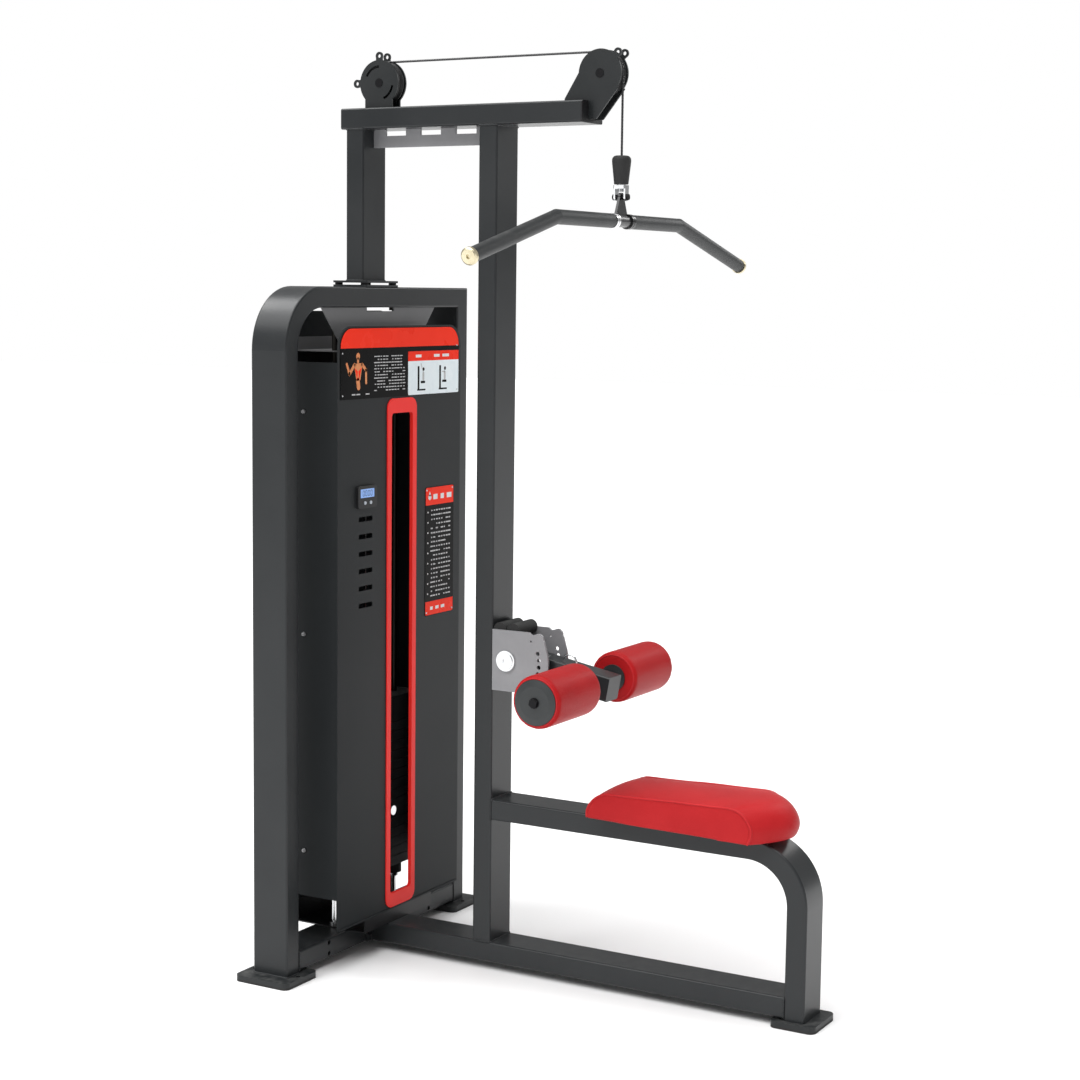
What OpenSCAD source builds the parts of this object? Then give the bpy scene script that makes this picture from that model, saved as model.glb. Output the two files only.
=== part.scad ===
// Lat pulldown machine with a pin-selected weight stack.
// Millimetres. +Z is up, the user sits at the -Y end facing the weight tower at +Y.
// The origin is on the floor, under the centre of the machine's footprint.

/* [Overall] */
// Height of the weight tower
tower_h = 1657; // [1350:1:1990]
// Width of the weight tower over its uprights
tower_w = 798; // [660:1:1000]
// Height of the boom's top face
boom_top = 2087; // [1900:1:2400]
// From the tower's centre plane to the main post's centre
post_gap = 378; // [300:1:520]
// From the tower's centre plane to the boom's front end
boom_reach = 625; // [520:1:800]
// Length of the boom behind the tower's centre plane
boom_tail = 37; // [30:1:80]
// From the tower's centre plane to the front leg's outer face
front_reach = 1230; // [1000:1:1500]
// Height of the seat beam's top face
seat_beam_top = 426; // [350:1:520]

/* [Frame tubes] */
// Long side of the frame tube
tube_a = 100; // [80:1:120]
// Short side of the frame tube
tube_b = 50; // [40:1:60]
// Wall of the frame tube
tube_wall = 3; // [2:0.5:4]
// Outer corner radius of the frame tube
tube_r = 5; // [4:0.5:8]
// Outer radius of the frame tube bends
bend_r = 150; // [120:1:180]
// Height of the base beams above the floor
beam_z = 20; // [17:1:40]
// Thickness of the caps in the boom's ends
cap_t = 3; // [2:0.5:6]
// Depth of the plug behind each cap
cap_plug = 12; // [6:1:30]
// Clearance of the cap's plug in the tube
cap_fit = 0.3; // [0.1:0.05:0.6]

/* [Feet] */
// Thickness of the rubber foot pads
pad_t = 6; // [4:0.5:10]
// Thickness of the steel foot plates
plate_t = 10; // [6:1:14]
// Width of the foot plates along X
foot_w = 130; // [115:1:180]
// Depth of the two tower foot plates along Y
foot_d = 154; // [130:1:200]
// Depth of the front foot plate along Y
front_foot_d = 110; // [80:1:160]
// Corner radius of the foot plates
foot_r = 16; // [8:1:25]
// Radius of the floor anchor holes
anchor_r = 5.5; // [4:0.5:8]

/* [Bolted joints] */
// Thickness of the joint flanges
flange_t = 5; // [4:0.5:10]
// Gap that the spacer washers keep between the arch and post flanges
flange_gap = 5; // [2:0.5:10]
// Flange overhang beyond the tube
flange_over = 22; // [18:1:40]
// Radius of the frame bolts
bolt_r = 5; // [4:0.5:8]
// Clearance of a bolt in its hole
bolt_fit = 0.3; // [0.1:0.05:1]
// Height of a bolt head
head_h = 6; // [4:0.5:10]
// Across-corners radius of a bolt head
head_r = 8.5; // [7:0.5:12]
// Spacing of the accessory holes up the cross beam
acc_pitch = 27; // [20:1:32]
// From the centre plane to the accessory holes
acc_x = 226; // [150:1:280]
// Radius of the accessory holes
acc_r = 5.5; // [4:0.5:8]

/* [Cable and pulleys] */
// Radius of the cable
cable_r = 2.75; // [2:0.25:4]
// Radius of the cable's centre line round a pulley
wrap_r = 50; // [40:1:60]
// Height of the pulley axles above the boom
pulley_rise = 61; // [58:1:80]
// Flange height of the pulley beyond the cable's centre line
pulley_lip = 3; // [2:0.5:5]
// Half of the pulley's rim width
rim_half = 10; // [8:0.5:12]
// Half of the pulley's hub width
hub_half = 14.5; // [12:0.5:18]
// Radius of the pulley axles
axle_r = 8; // [6:0.5:10]
// Running clearance of a turning part on its axle
run_fit = 0.05; // [0.02:0.01:0.09]
// Thickness of the pulley bracket plates
bracket_t = 4; // [3:0.5:6]
// Side clearance between the hub and the bracket plates
side_fit = 0.5; // [0.3:0.1:1]
// Radius of the pulley bracket plates
bracket_r = 55; // [54:1:66]
// Radius of the cable holes in the frame tubes
cable_hole_r = 12; // [8:1:18]
// Distance of the bracket ears from the axle
ear_reach = 64; // [62:1:76]
// Outer radius of the bracket ears
ear_r = 10; // [8:0.5:14]
// Radius of the holes in the bracket ears
ear_hole_r = 4.5; // [3:0.5:6]
// From the pulley axle down to the top of the rubber stopper
cable_drop = 186; // [150:1:320]

/* [Hanger rail] */
// Thickness of the hanger rail under the boom
rail_t = 6; // [4:0.5:10]
// Height of the rail's lower strip
rail_strip = 28; // [20:1:40]
// Height of the hanger windows
rail_win_h = 15; // [12:1:25]
// Width of the tabs between the windows
rail_tab = 42; // [25:1:50]
// Number of hanger windows
rail_wins = 3; // [2:1:4]

/* [Bar] */
// Radius of the steel bar
bar_r = 10.5; // [9:0.5:14]
// Radius of the bar's grip
grip_r = 16.5; // [14:0.5:20]
// From the middle of the bar to each bend
bar_bend_x = 303; // [200:1:400]
// Length of each bar end beyond the bend
bar_end = 366; // [200:1:450]
// Droop of the bar ends in degrees
bar_droop = 14.4; // [0:0.1:30]
// Half length of the hanger's sleeve
sleeve_half = 30; // [20:1:45]
// Wall of the hanger's sleeve
sleeve_wall = 3; // [2:0.5:5]
// Width of the collars beside the sleeve
collar_w = 15; // [8:1:25]
// Thickness of the hanger plate
hanger_t = 6; // [4:0.5:10]
// Height of the shackle pin above the bar
hanger_rise = 55; // [40:1:90]
// Radius of the shackle pin
spin_r = 4; // [3:0.5:6]
// Height of the rubber stopper
stop_h = 65; // [40:1:90]
// Largest radius of the rubber stopper
stop_r = 22; // [17:0.5:30]
// Radius of the swivel stud
stud_r = 6; // [4:0.5:9]
// Half width of the shackle along Y
shackle_half = 15; // [12:0.5:20]
// Thickness of the shackle's legs
shackle_t = 4; // [3:0.5:6]

/* [Thigh support] */
// Height of the thigh arm's pivot
pivot_z = 771; // [650:1:900]
// From the main post's front face to the pivot
pivot_out = 39; // [36:1:60]
// Radius of the pivot bolt
pivot_r = 10; // [8:0.5:14]
// Side of the square thigh arm
arm_s = 60; // [45:1:66]
// Length of the thigh arm from the pivot
arm_len = 269; // [220:1:340]
// Downward slope of the thigh arm in degrees
arm_drop = 10.2; // [0:0.1:20]
// Thickness of the side plates
cheek_t = 6; // [4:0.5:10]
// Radius of the side plates round the pivot
cheek_r = 115; // [108:1:140]
// Half height of the side plates
cheek_h = 74; // [60:1:90]
// Radius of the arc of adjustment holes
adj_r = 90; // [80:1:96]
// Angle between adjustment holes in degrees
adj_step = 10.5; // [9:0.5:12]
// Angle of the hole in use above the horizontal
adj_at = 5.5; // [0:0.5:10]
// Radius of the locking plunger
lock_r = 5; // [4:0.5:7]
// From the pivot to the roller shaft along the arm
roller_at = 222; // [180:1:250]
// Radius of the rollers
roller_r = 63.5; // [50:0.5:80]
// Length of each roller
roller_len = 204; // [150:1:260]
// From the centre plane to the inner end of a roller
roller_in = 86; // [60:1:120]
// Radius of the roller shaft
shaft_r = 12.5; // [10:0.5:16]
// Outer radius of the roller's core tube
core_r = 20; // [17:0.5:26]

/* [Seat] */
// Width of the seat pad
seat_w = 216; // [190:1:340]
// Rear end of the seat pad from the tower's centre plane
seat_rear = 693; // [640:1:760]
// Straight length of the seat pad's sides
seat_len = 424; // [340:1:500]
// Bulge of the seat pad's front end
seat_bulge = 68; // [30:1:90]
// Thickness of the seat pad
seat_t = 74; // [50:1:100]
// Radius of the pad's upper front and rear edges
seat_round = 60; // [20:1:70]
// Thickness of the seat board
board_t = 12; // [8:1:20]
// Gap between a soft pad and what it lies on
soft_gap = 0.3; // [0.1:0.1:0.6]

/* [Weight stack] */
// From the centre plane to each guide rod
rod_x = 130; // [100:1:160]
// Radius of the guide rods
rod_r = 8; // [6:0.5:14]
// Width of the weight plates
weight_w = 360; // [300:1:420]
// Depth of the weight plates
weight_d = 96; // [80:1:110]
// Thickness of one weight plate
weight_t = 25; // [18:1:35]
// Number of plates below the selected one
plates_below = 6; // [1:1:9]
// Number of plates from the selected one up
plates_up = 10; // [4:1:12]
// Thickness of the head plate
head_t = 40; // [25:1:55]
// Height of the lowest plate's underside
stack_z = 185; // [150:1:220]
// Height of the rubber bumpers
bumper_t = 37; // [15:1:50]
// Radius of the selector stem
stem_r = 12; // [9:0.5:16]
// Radius of the selector pin
pin_r = 4; // [3:0.5:6]
// Clearance of the plates on rods and stem
plate_fit = 1.5; // [1:0.1:3]
// Sliding clearance of the head plate on the rods
slide_fit = 0.06; // [0.03:0.01:0.09]
// Gap between the selected plate and the one below
stack_gap = 0.3; // [0.2:0.1:1]

/* [Shrouds] */
// Half depth of the shrouded tower
shroud_y = 107; // [90:1:140]
// Half width of the front shroud
shroud_x = 273; // [250:1:300]
// Sheet thickness of the shrouds
sheet = 2; // [1.5:0.5:3]
// Height of the shrouds' lower edge
shroud_z0 = 105; // [90:1:140]
// Distance of the shrouds' upper edge below the tower's top
shroud_down = 93; // [80:1:160]
// Extra height of the side panels' lower edge
side_up = 78; // [40:1:120]
// Drop of the side panels' upper edge
side_down = 85; // [40:1:140]
// Radius of the shrouds' upper corners
shroud_r = 52; // [30:1:80]
// Half width of the window in the trim
window_x = 47; // [35:1:60]
// Lower end of the window
window_z0 = 145; // [125:1:200]
// Width of the trim's face round the window
trim_w = 17.5; // [12:0.5:25]
// Height of the header placard
header_h = 169; // [120:1:200]
// Thickness of the placards
placard_t = 1; // [0.5:0.1:2]
// Thickness of the sheet brackets
strap_t = 3; // [2:0.5:4]

/* [Rep counter] */
// Width of the counter's housing
counter_w = 80; // [70:1:100]
// Height of the counter's housing
counter_h = 54; // [46:1:70]
// Thickness of the counter's housing
counter_t = 6; // [5:0.5:10]
// Radius of the counter's buttons
button_r = 4; // [3:0.5:5]
// Clearance round a button
button_fit = 0.3; // [0.2:0.05:0.5]
// Number of slots below the counter
vents = 6; // [2:1:8]

/* [Hidden] */
$fn = 72;
eps = 0.01;
leg_z = pad_t + plate_t;
leg_x = tower_w/2 - tube_b/2;
front_y = front_reach - tube_b/2;
y_back = shroud_y;
y_front = front_y + front_foot_d/2;
y_mid = (y_front - y_back)/2;
pulley_z = boom_top + pulley_rise;
rear_py = -wrap_r;
front_py = -(boom_reach + cap_t + 28);
drop_y = front_py - wrap_r;
post_front = -(post_gap + tube_b/2);
flange_z = tower_h + 2*flange_t + flange_gap;
post_bolt_x = tube_a/2 + flange_over/2;
post_bolt_y = tube_a/2 - 12;
base_bolt_x = tube_a/2 + flange_over/2;
plate_in = hub_half + side_fit;
plate_out = plate_in + bracket_t;
seat_board_z = seat_beam_top + board_t;
// bar and cable end
stop_top = pulley_z - cable_drop;
stop_z = stop_top - stop_h;
shackle_top = stop_z - 2;
shackle_plate = 8;
spin_z = shackle_top - shackle_plate - 19;
bar_z = spin_z - hanger_rise;
sleeve_r = bar_r + sleeve_wall;
grip_x = sleeve_half + collar_w + 1.5;
// thigh support
pivot_y = post_front - pivot_out;
cheek_in = tube_a/2 - cheek_t;
lock_a = adj_at + arm_drop;
// stack
fixed_top = stack_z + plates_below*weight_t;
lift_z = fixed_top + stack_gap;
head_z = lift_z + plates_up*weight_t;
head_top = head_z + head_t;
anchor_h = 34;
anchor_top = head_top + anchor_h;
pin_z = lift_z + weight_t/2;
beam_under = tower_h - tube_b;
// shrouds
shroud_top = tower_h - shroud_down;
rear_top = tower_h - tube_b - 10;
trim_z0 = window_z0 - trim_w - 17.5;
header_top = shroud_top - 4;
header_z0 = header_top - header_h;
trim_z1 = header_z0 - 4;
window_z1 = trim_z1 - trim_w - 18.5;
shelf_z = shroud_top - 64;
shelf_x = rod_x + 22;
gusset_x = min(shroud_x - 11, tower_w/2 - bend_r - 1);
counter_x = -155;
counter_z = 1155;
vent_w = 58;
vent_h = 12;
vent_pitch = 42;
vent_z1 = counter_z - counter_h/2 - 27;

steel_paint = [0.29, 0.30, 0.31];
plate_grey = [0.57, 0.57, 0.58];
dark = [0.08, 0.08, 0.09];
bright = [0.80, 0.81, 0.82];
shell_grey = [0.22, 0.24, 0.24];
trim_red = [0.97, 0.24, 0.21];
pad_red = [0.78, 0.19, 0.20];
rubber = [0.15, 0.15, 0.16];

// ---- helpers -------------------------------------------------------------
module place() translate([0, y_mid, 0]) children();

module sides() for (s = [-1, 1]) scale_x(s) children();

module scale_x(s) if (s < 0) mirror([1, 0, 0]) children(); else children();

module rrect(w, h, r) {
  square([w, h - 2*r], center = true);
  square([w - 2*r, h], center = true);
  for (x = [-1, 1], y = [-1, 1]) translate([x*(w/2 - r), y*(h/2 - r)]) circle(r);
}

module tube_2d(w, h) difference() {
  rrect(w, h, tube_r);
  rrect(w - 2*tube_wall, h - 2*tube_wall, max(tube_r - tube_wall, 0.5));
}

module tube_z(w, d, z0, z1) translate([0, 0, z0]) linear_extrude(z1 - z0) tube_2d(w, d);

module tube_y(w, h, y0, y1) translate([0, y1, 0]) rotate([90, 0, 0])
  linear_extrude(y1 - y0) tube_2d(w, h);

module tube_x(d, h, x0, x1) translate([x0, 0, 0]) rotate([90, 0, 90])
  linear_extrude(x1 - x0) tube_2d(d, h);

module slab_yz(x0, x1) translate([x0, 0, 0]) rotate([90, 0, 90])
  linear_extrude(x1 - x0) children();

module slab_xz(y0, y1) translate([0, y1, 0]) rotate([90, 0, 0])
  linear_extrude(y1 - y0) children();

module slab_xy(z0, z1) translate([0, 0, z0]) linear_extrude(z1 - z0) children();

module cyl_x(r, x0, x1) translate([x0, 0, 0]) rotate([0, 90, 0]) cylinder(h = x1 - x0, r = r);

module cyl_y(r, y0, y1) translate([0, y1, 0]) rotate([90, 0, 0]) cylinder(h = y1 - y0, r = r);

module hex_x(r, x0, x1) translate([x0, 0, 0]) rotate([0, 90, 0])
  cylinder(h = x1 - x0, r = r, $fn = 6);

module box(x0, x1, y0, y1, z0, z1) translate([x0, y0, z0]) cube([x1 - x0, y1 - y0, z1 - z0]);

module at_yz(y, z) translate([0, y, z]) children();

// An arc-shaped slot in the plane, between two angles.
module arc_slot(r, w, a0, a1) {
  am = (a0 + a1)/2;
  far = 2*r;
  intersection() {
    difference() {
      circle(r + w/2);
      circle(r - w/2);
    }
    polygon([[0, 0], far*[cos(a0), sin(a0)], far*[cos(am), sin(am)], far*[cos(a1), sin(a1)]]);
  }
}

// ---- frame -----------------------------------------------------------------
// The tube bend of the arch and of the seat frame, sweeping a quarter turn.
module quarter_bend() rotate_extrude(angle = 90)
  translate([bend_r - tube_b/2, 0]) tube_2d(tube_b, tube_a);

module left_upright() color(steel_paint) place() {
  translate([-leg_x, 0, 0]) tube_z(tube_b, tube_a, leg_z, tower_h - bend_r);
  translate([-tower_w/2 + bend_r, 0, tower_h - bend_r]) mirror([1, 0, 0])
    rotate([90, 0, 0]) quarter_bend();
}

// The mitre between the top beam and the right upright.
module mitre(side) slab_xz(-tube_a, tube_a) polygon([
  [tower_w/2 + 1, tower_h + 1],
  side > 0 ? [tower_w/2 + 1, beam_under - 1] : [tower_w/2 - tube_b - 1, tower_h + 1],
  [tower_w/2 - tube_b - 1, beam_under - 1]]);

module cable_hole(z0, z1) translate([0, 0, z0]) cylinder(h = z1 - z0, r = cable_hole_r);

module post_bolt_spots() for (x = [-1, 1], y = [-1, 1])
  translate([x*post_bolt_x, y*post_bolt_y, 0]) children();

module top_beam() color(steel_paint) place() difference() {
  translate([0, 0, tower_h - tube_b/2]) tube_x(tube_a, tube_b, -tower_w/2 + bend_r, tower_w/2);
  mitre(1);
  cable_hole(beam_under - 1, tower_h + 1);
  post_bolt_spots() translate([0, 0, tower_h - tube_wall - 1])
    cylinder(h = tube_wall + 2, r = bolt_r + bolt_fit);
}

module right_upright() color(steel_paint) place() difference() {
  translate([leg_x, 0, 0]) tube_z(tube_b, tube_a, leg_z, tower_h);
  mitre(-1);
}

module cross_beam() color(steel_paint) place() difference() {
  translate([0, 0, beam_z + tube_b/2])
    tube_x(tube_a, tube_b, -tower_w/2 + tube_b, tower_w/2 - tube_b);
  for (x = [-acc_x, acc_x], z = [-acc_pitch/2, acc_pitch/2])
    translate([x, 0, beam_z + tube_b/2 + z]) cyl_y(acc_r, -tube_a/2 - 1, -tube_a/2 + tube_wall + 1);
  for (x = [-base_bolt_x, base_bolt_x]) translate([x, 0, beam_z + tube_b/2])
    cyl_y(bolt_r + bolt_fit, -tube_a/2 - 1, -tube_a/2 + tube_wall + 1);
}

module foot(d, holes) difference() {
  rrect(foot_w, d, foot_r);
  if (holes) for (y = [-1, 1]) translate([0, y*(d/2 - 13)]) circle(anchor_r);
}

module feet(z0, z1) {
  for (s = [-1, 1]) translate([s*leg_x, 0, 0]) slab_xy(z0, z1) foot(foot_d, true);
  translate([0, -front_y, 0]) slab_xy(z0, z1) foot(front_foot_d, false);
}

module foot_plates() color(steel_paint) place() feet(pad_t, pad_t + plate_t);

module foot_pads() color(rubber) place() feet(0, pad_t);

module joint_flanges() color(steel_paint) place() {
  for (z = [tower_h, tower_h + flange_t + flange_gap]) difference() {
    slab_xy(z, z + flange_t) rrect(tube_a + 2*flange_over, tube_a, 6);
    cable_hole(z - 1, z + flange_t + 1);
    post_bolt_spots() translate([0, 0, z - 1]) cylinder(h = flange_t + 2, r = bolt_r + bolt_fit);
  }
  difference() {
    translate([0, 0, beam_z + tube_b/2]) slab_xz(-tube_a/2 - flange_t, -tube_a/2)
      rrect(tube_a + 2*flange_over, tube_b, 6);
    for (x = [-base_bolt_x, base_bolt_x]) translate([x, 0, beam_z + tube_b/2])
      cyl_y(bolt_r + bolt_fit, -tube_a/2 - flange_t - 1, -tube_a/2 + 1);
  }
}

// A hex bolt with its nut along +Z, clamping from z = 0 up to z = grip.
module bolt(grip) {
  translate([0, 0, -head_h]) cylinder(h = head_h, r = head_r, $fn = 6);
  translate([0, 0, -1]) cylinder(h = grip + 2, r = bolt_r);
  translate([0, 0, grip]) cylinder(h = head_h, r = head_r, $fn = 6);
}

// A screw driven up along +Z from z = 0, its tip level with z = grip.
module cap_screw(grip) {
  translate([0, 0, -head_h]) cylinder(h = head_h, r = head_r, $fn = 6);
  translate([0, 0, -1]) cylinder(h = grip + 1, r = bolt_r);
}

module frame_bolts() color(dark) place() {
  post_bolt_spots() {
    translate([0, 0, tower_h - tube_wall]) cap_screw(flange_z - tower_h + tube_wall);
    translate([0, 0, tower_h + flange_t]) cylinder(h = flange_gap, r = head_r + 1);
  }
  for (x = [-base_bolt_x, base_bolt_x])
    translate([x, -tube_a/2 + tube_wall, beam_z + tube_b/2]) rotate([90, 0, 0])
      bolt(tube_wall + flange_t);
}

module rear_post() color(steel_paint) place() tube_z(tube_a, tube_b, flange_z, boom_top - tube_b);

module boom() color(steel_paint) place() difference() {
  translate([0, 0, boom_top - tube_b/2]) tube_y(tube_a, tube_b, -boom_reach, boom_tail);
  cable_hole(boom_top - tube_b - 1, boom_top + 1);
}

module tube_cap() {
  linear_extrude(cap_t) rrect(tube_a, tube_b, tube_r);
  translate([0, 0, -cap_plug]) linear_extrude(cap_plug + eps)
    rrect(tube_a - 2*tube_wall - 2*cap_fit, tube_b - 2*tube_wall - 2*cap_fit, 2);
}

module boom_caps() color(dark) place() translate([0, 0, boom_top - tube_b/2]) {
  translate([0, -boom_reach, 0]) rotate([90, 0, 0]) tube_cap();
  translate([0, boom_tail, 0]) rotate([-90, 0, 0]) tube_cap();
}

module main_post() color(steel_paint) place() translate([0, -post_gap, 0])
  tube_z(tube_a, tube_b, beam_z + tube_b, boom_top - tube_b);

module base_beam() color(steel_paint) place() translate([0, 0, beam_z + tube_b/2])
  tube_y(tube_a, tube_b, -front_reach + tube_b, -tube_a/2 - flange_t);

module seat_frame() color(steel_paint) place() {
  translate([0, 0, seat_beam_top - tube_b/2])
    tube_y(tube_a, tube_b, -front_reach + bend_r, post_front);
  translate([0, -front_reach + bend_r, seat_beam_top - bend_r]) mirror([0, 1, 0])
    rotate([90, 0, 90]) quarter_bend();
  translate([0, -front_y, 0]) tube_z(tube_a, tube_b, leg_z, seat_beam_top - bend_r);
}

// ---- seat ------------------------------------------------------------------
module seat_board() color(dark) place() translate([0, -seat_rear - seat_len/2, 0])
  slab_xy(seat_beam_top, seat_board_z) rrect(seat_w - 50, seat_len - 30, 20);

// Plan of the pad: straight sides, a bulged front and a flatter rear.
module seat_plan() {
  half = seat_w/2;
  rf = (half*half + seat_bulge*seat_bulge)/(2*seat_bulge);
  rb = 16;
  intersection() {
    union() {
      translate([-half, -seat_rear - seat_len]) square([seat_w, seat_len - rb]);
      translate([-half + rb, -seat_rear - rb - eps]) square([seat_w - 2*rb, rb + eps]);
      for (s = [-1, 1]) translate([s*(half - rb), -seat_rear - rb]) circle(rb);
      translate([0, -seat_rear - seat_len - seat_bulge + rf]) circle(rf);
    }
    translate([-half, -seat_rear - seat_len - seat_bulge])
      square([seat_w, seat_len + seat_bulge]);
  }
}

module seat_side() {
  z0 = seat_board_z + soft_gap;
  z1 = z0 + seat_t;
  y0 = -seat_rear - seat_len - seat_bulge;
  y1 = -seat_rear;
  translate([y0, z0]) square([y1 - y0, seat_t - seat_round]);
  translate([y0 + seat_round, z0]) square([y1 - y0 - 2*seat_round, seat_t]);
  for (y = [y0 + seat_round, y1 - seat_round]) intersection() {
    translate([y, z1 - seat_round]) circle(seat_round);
    translate([y0, z0]) square([y1 - y0, seat_t]);
  }
}

module seat_pad() color(pad_red) place() intersection() {
  slab_xy(seat_board_z, seat_board_z + seat_t + 20) seat_plan();
  slab_yz(-seat_w, seat_w) seat_side();
}

// ---- hanger rail and pulleys -----------------------------------------------
module hanger_rail() color(plate_grey) place() {
  y0 = post_front + tube_b;
  y1 = -tube_b/2;
  end_tab = 35;
  win = (y1 - y0 - 2*end_tab - (rail_wins - 1)*rail_tab)/rail_wins;
  z1 = boom_top - tube_b;
  z0 = z1 - rail_win_h - rail_strip;
  slab_yz(-rail_t/2, rail_t/2) difference() {
    translate([y0, z0]) square([y1 - y0, z1 - z0]);
    for (i = [0 : rail_wins - 1])
      translate([y0 + end_tab + i*(win + rail_tab), z1 - rail_win_h]) square([win, rail_win_h + 1]);
  }
}

// One side plate of a pulley bracket, centred on the axle.
module bracket_face(ears, slots) difference() {
  union() {
    circle(bracket_r);
    for (a = ears) {
      translate(ear_reach*[cos(a), sin(a)]) circle(ear_r);
      rotate(a) translate([0, 1 - ear_r]) square([ear_reach, 2*ear_r - 2]);
    }
    children();
  }
  circle(axle_r + run_fit);
  for (a = ears) translate(ear_reach*[cos(a), sin(a)]) circle(ear_hole_r);
  for (s = slots) arc_slot(39, 6, s[0], s[1]);
}

module bracket_pair() for (x = [-plate_out, plate_in]) slab_yz(x, x + bracket_t) children();

module rear_pulley_bracket() color(plate_grey) place() {
  neck = 38;
  at_yz(rear_py, pulley_z) bracket_pair() bracket_face([90, 0], [[25, 90], [190, 250]])
    translate([-neck, -pulley_rise]) square([2*neck, pulley_rise]);
  box(-plate_in - 2, plate_in + 2, rear_py - neck + 2, rear_py + neck - 2, boom_top,
    boom_top + bracket_t);
}

module front_pulley_bracket() color(plate_grey) place() {
  back = front_py + 91;
  nose = -(boom_reach + cap_t);
  at_yz(front_py, pulley_z) bracket_pair() bracket_face([135], [])
    polygon([[91, -pulley_rise], [91, 6 - pulley_rise], [34, bracket_r - 19], [0, 0],
      [-47, -35], [8, -pulley_rise - 42], [28, -pulley_rise - 42], [28, -pulley_rise]]);
  web = plate_in + bracket_t/2;
  box(-web, web, nose + 2, back - 2, boom_top, boom_top + bracket_t);
  box(-web, web, nose - bracket_t, nose, boom_top - 38, boom_top - 2);
}

module axle() {
  cyl_x(axle_r, -plate_out, plate_out);
  cyl_x(axle_r + 2.5, -plate_out - 1.5, -plate_out);
  cyl_x(axle_r + 2.5, plate_out, plate_out + 1.5);
}

module pulley_axles() color(dark) place() {
  at_yz(rear_py, pulley_z) axle();
  at_yz(front_py, pulley_z) axle();
}

module pulley() {
  groove = wrap_r - cable_r - 0.15;
  lip = wrap_r + pulley_lip;
  rotate([0, 90, 0]) difference() {
    rotate_extrude() polygon([
      [axle_r + run_fit, -hub_half], [16, -hub_half], [16, -4], [groove - 7, -4],
      [groove - 7, -rim_half], [lip, -rim_half], [lip, 2 - rim_half], [groove, -2.2],
      [groove, 2.2], [lip, rim_half - 2], [lip, rim_half], [groove - 7, rim_half],
      [groove - 7, 4], [16, 4], [16, hub_half], [axle_r + run_fit, hub_half]]);
    for (i = [0 : 5]) rotate([0, 0, 60*i]) translate([28, 0, -6]) cylinder(h = 12, r = 6);
  }
}

module rear_pulley() color(dark) place() at_yz(rear_py, pulley_z) pulley();

module front_pulley() color(dark) place() at_yz(front_py, pulley_z) pulley();

module cable_top_run() color(dark) place() {
  at_yz(rear_py, pulley_z) rotate([90, 0, 90]) rotate_extrude(angle = 90)
    translate([wrap_r, 0]) circle(cable_r);
  translate([0, 0, pulley_z + wrap_r]) cyl_y(cable_r, front_py, rear_py);
  at_yz(front_py, pulley_z) mirror([0, 1, 0]) rotate([90, 0, 90]) rotate_extrude(angle = 90)
    translate([wrap_r, 0]) circle(cable_r);
}

module cable_stack_run() color(dark) place() translate([0, 0, anchor_top])
  cylinder(h = pulley_z - anchor_top, r = cable_r);

module cable_front_run() color(dark) place() translate([0, drop_y, stop_top])
  cylinder(h = pulley_z - stop_top, r = cable_r);

// ---- cable end and bar -----------------------------------------------------
module at_drop(z) translate([0, drop_y, z]) children();

module cable_stopper() color(rubber) place() at_drop(stop_z) difference() {
  rotate_extrude() {
    polygon([[0, 0], [stop_r - 5.5, 0], [stop_r, stop_h - 15], [stop_r, stop_h - 10],
      [stop_r - 10, stop_h], [0, stop_h]]);
    intersection() {
      translate([stop_r - 10, stop_h - 10]) circle(10);
      square([stop_r + 1, stop_h]);
    }
  }
  translate([0, 0, -1]) cylinder(h = 13, r = stud_r + run_fit);
}

module swivel_stud() color(bright) place() at_drop(0) {
  translate([0, 0, shackle_top - shackle_plate - 7]) cylinder(h = stop_z + 12 - shackle_top
    + shackle_plate + 7, r = stud_r);
  translate([0, 0, shackle_top + 0.3]) cylinder(h = stop_z - shackle_top - 0.3, r = stud_r + 4);
  translate([0, 0, shackle_top - shackle_plate - 7]) cylinder(h = 6.7, r = stud_r + 2);
}

module shackle() color(bright) place() at_drop(0) {
  difference() {
    slab_xy(shackle_top - shackle_plate, shackle_top) rrect(24, 2*shackle_half, 3);
    translate([0, 0, shackle_top - shackle_plate - 1])
      cylinder(h = shackle_plate + 2, r = stud_r + run_fit);
  }
  for (y = [-shackle_half, shackle_half - shackle_t]) difference() {
    union() {
      box(-9, 9, y, y + shackle_t, spin_z, shackle_top - shackle_plate + eps);
      translate([0, 0, spin_z]) cyl_y(9, y, y + shackle_t);
    }
    translate([0, 0, spin_z]) cyl_y(spin_r + run_fit, y - 1, y + shackle_t + 1);
  }
}

module shackle_pin() color(dark) place() at_drop(spin_z) {
  inner = shackle_half - shackle_t;
  cyl_y(spin_r, -shackle_half, shackle_half);
  cyl_y(spin_r + 3, -shackle_half - 5, -shackle_half);
  cyl_y(spin_r + 3, shackle_half, shackle_half + 5);
  cyl_y(spin_r + 2, hanger_t/2 + 0.3, inner);
  cyl_y(spin_r + 2, -inner, -hanger_t/2 - 0.3);
}

module bar_hanger() color(rubber) place() at_drop(0) difference() {
  union() {
    slab_xz(-hanger_t/2, hanger_t/2) {
      polygon([[-sleeve_half + 1, bar_z], [sleeve_half - 1, bar_z], [sleeve_half - 4, bar_z + 18],
        [10, spin_z], [-10, spin_z], [4 - sleeve_half, bar_z + 18]]);
      translate([0, spin_z]) circle(10);
    }
    translate([0, 0, bar_z]) cyl_x(sleeve_r, -sleeve_half, sleeve_half);
  }
  translate([0, 0, spin_z]) cyl_y(spin_r + run_fit, -hanger_t, hanger_t);
  translate([0, 0, bar_z]) cyl_x(bar_r + run_fit, -sleeve_half - 1, sleeve_half + 1);
}

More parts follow.
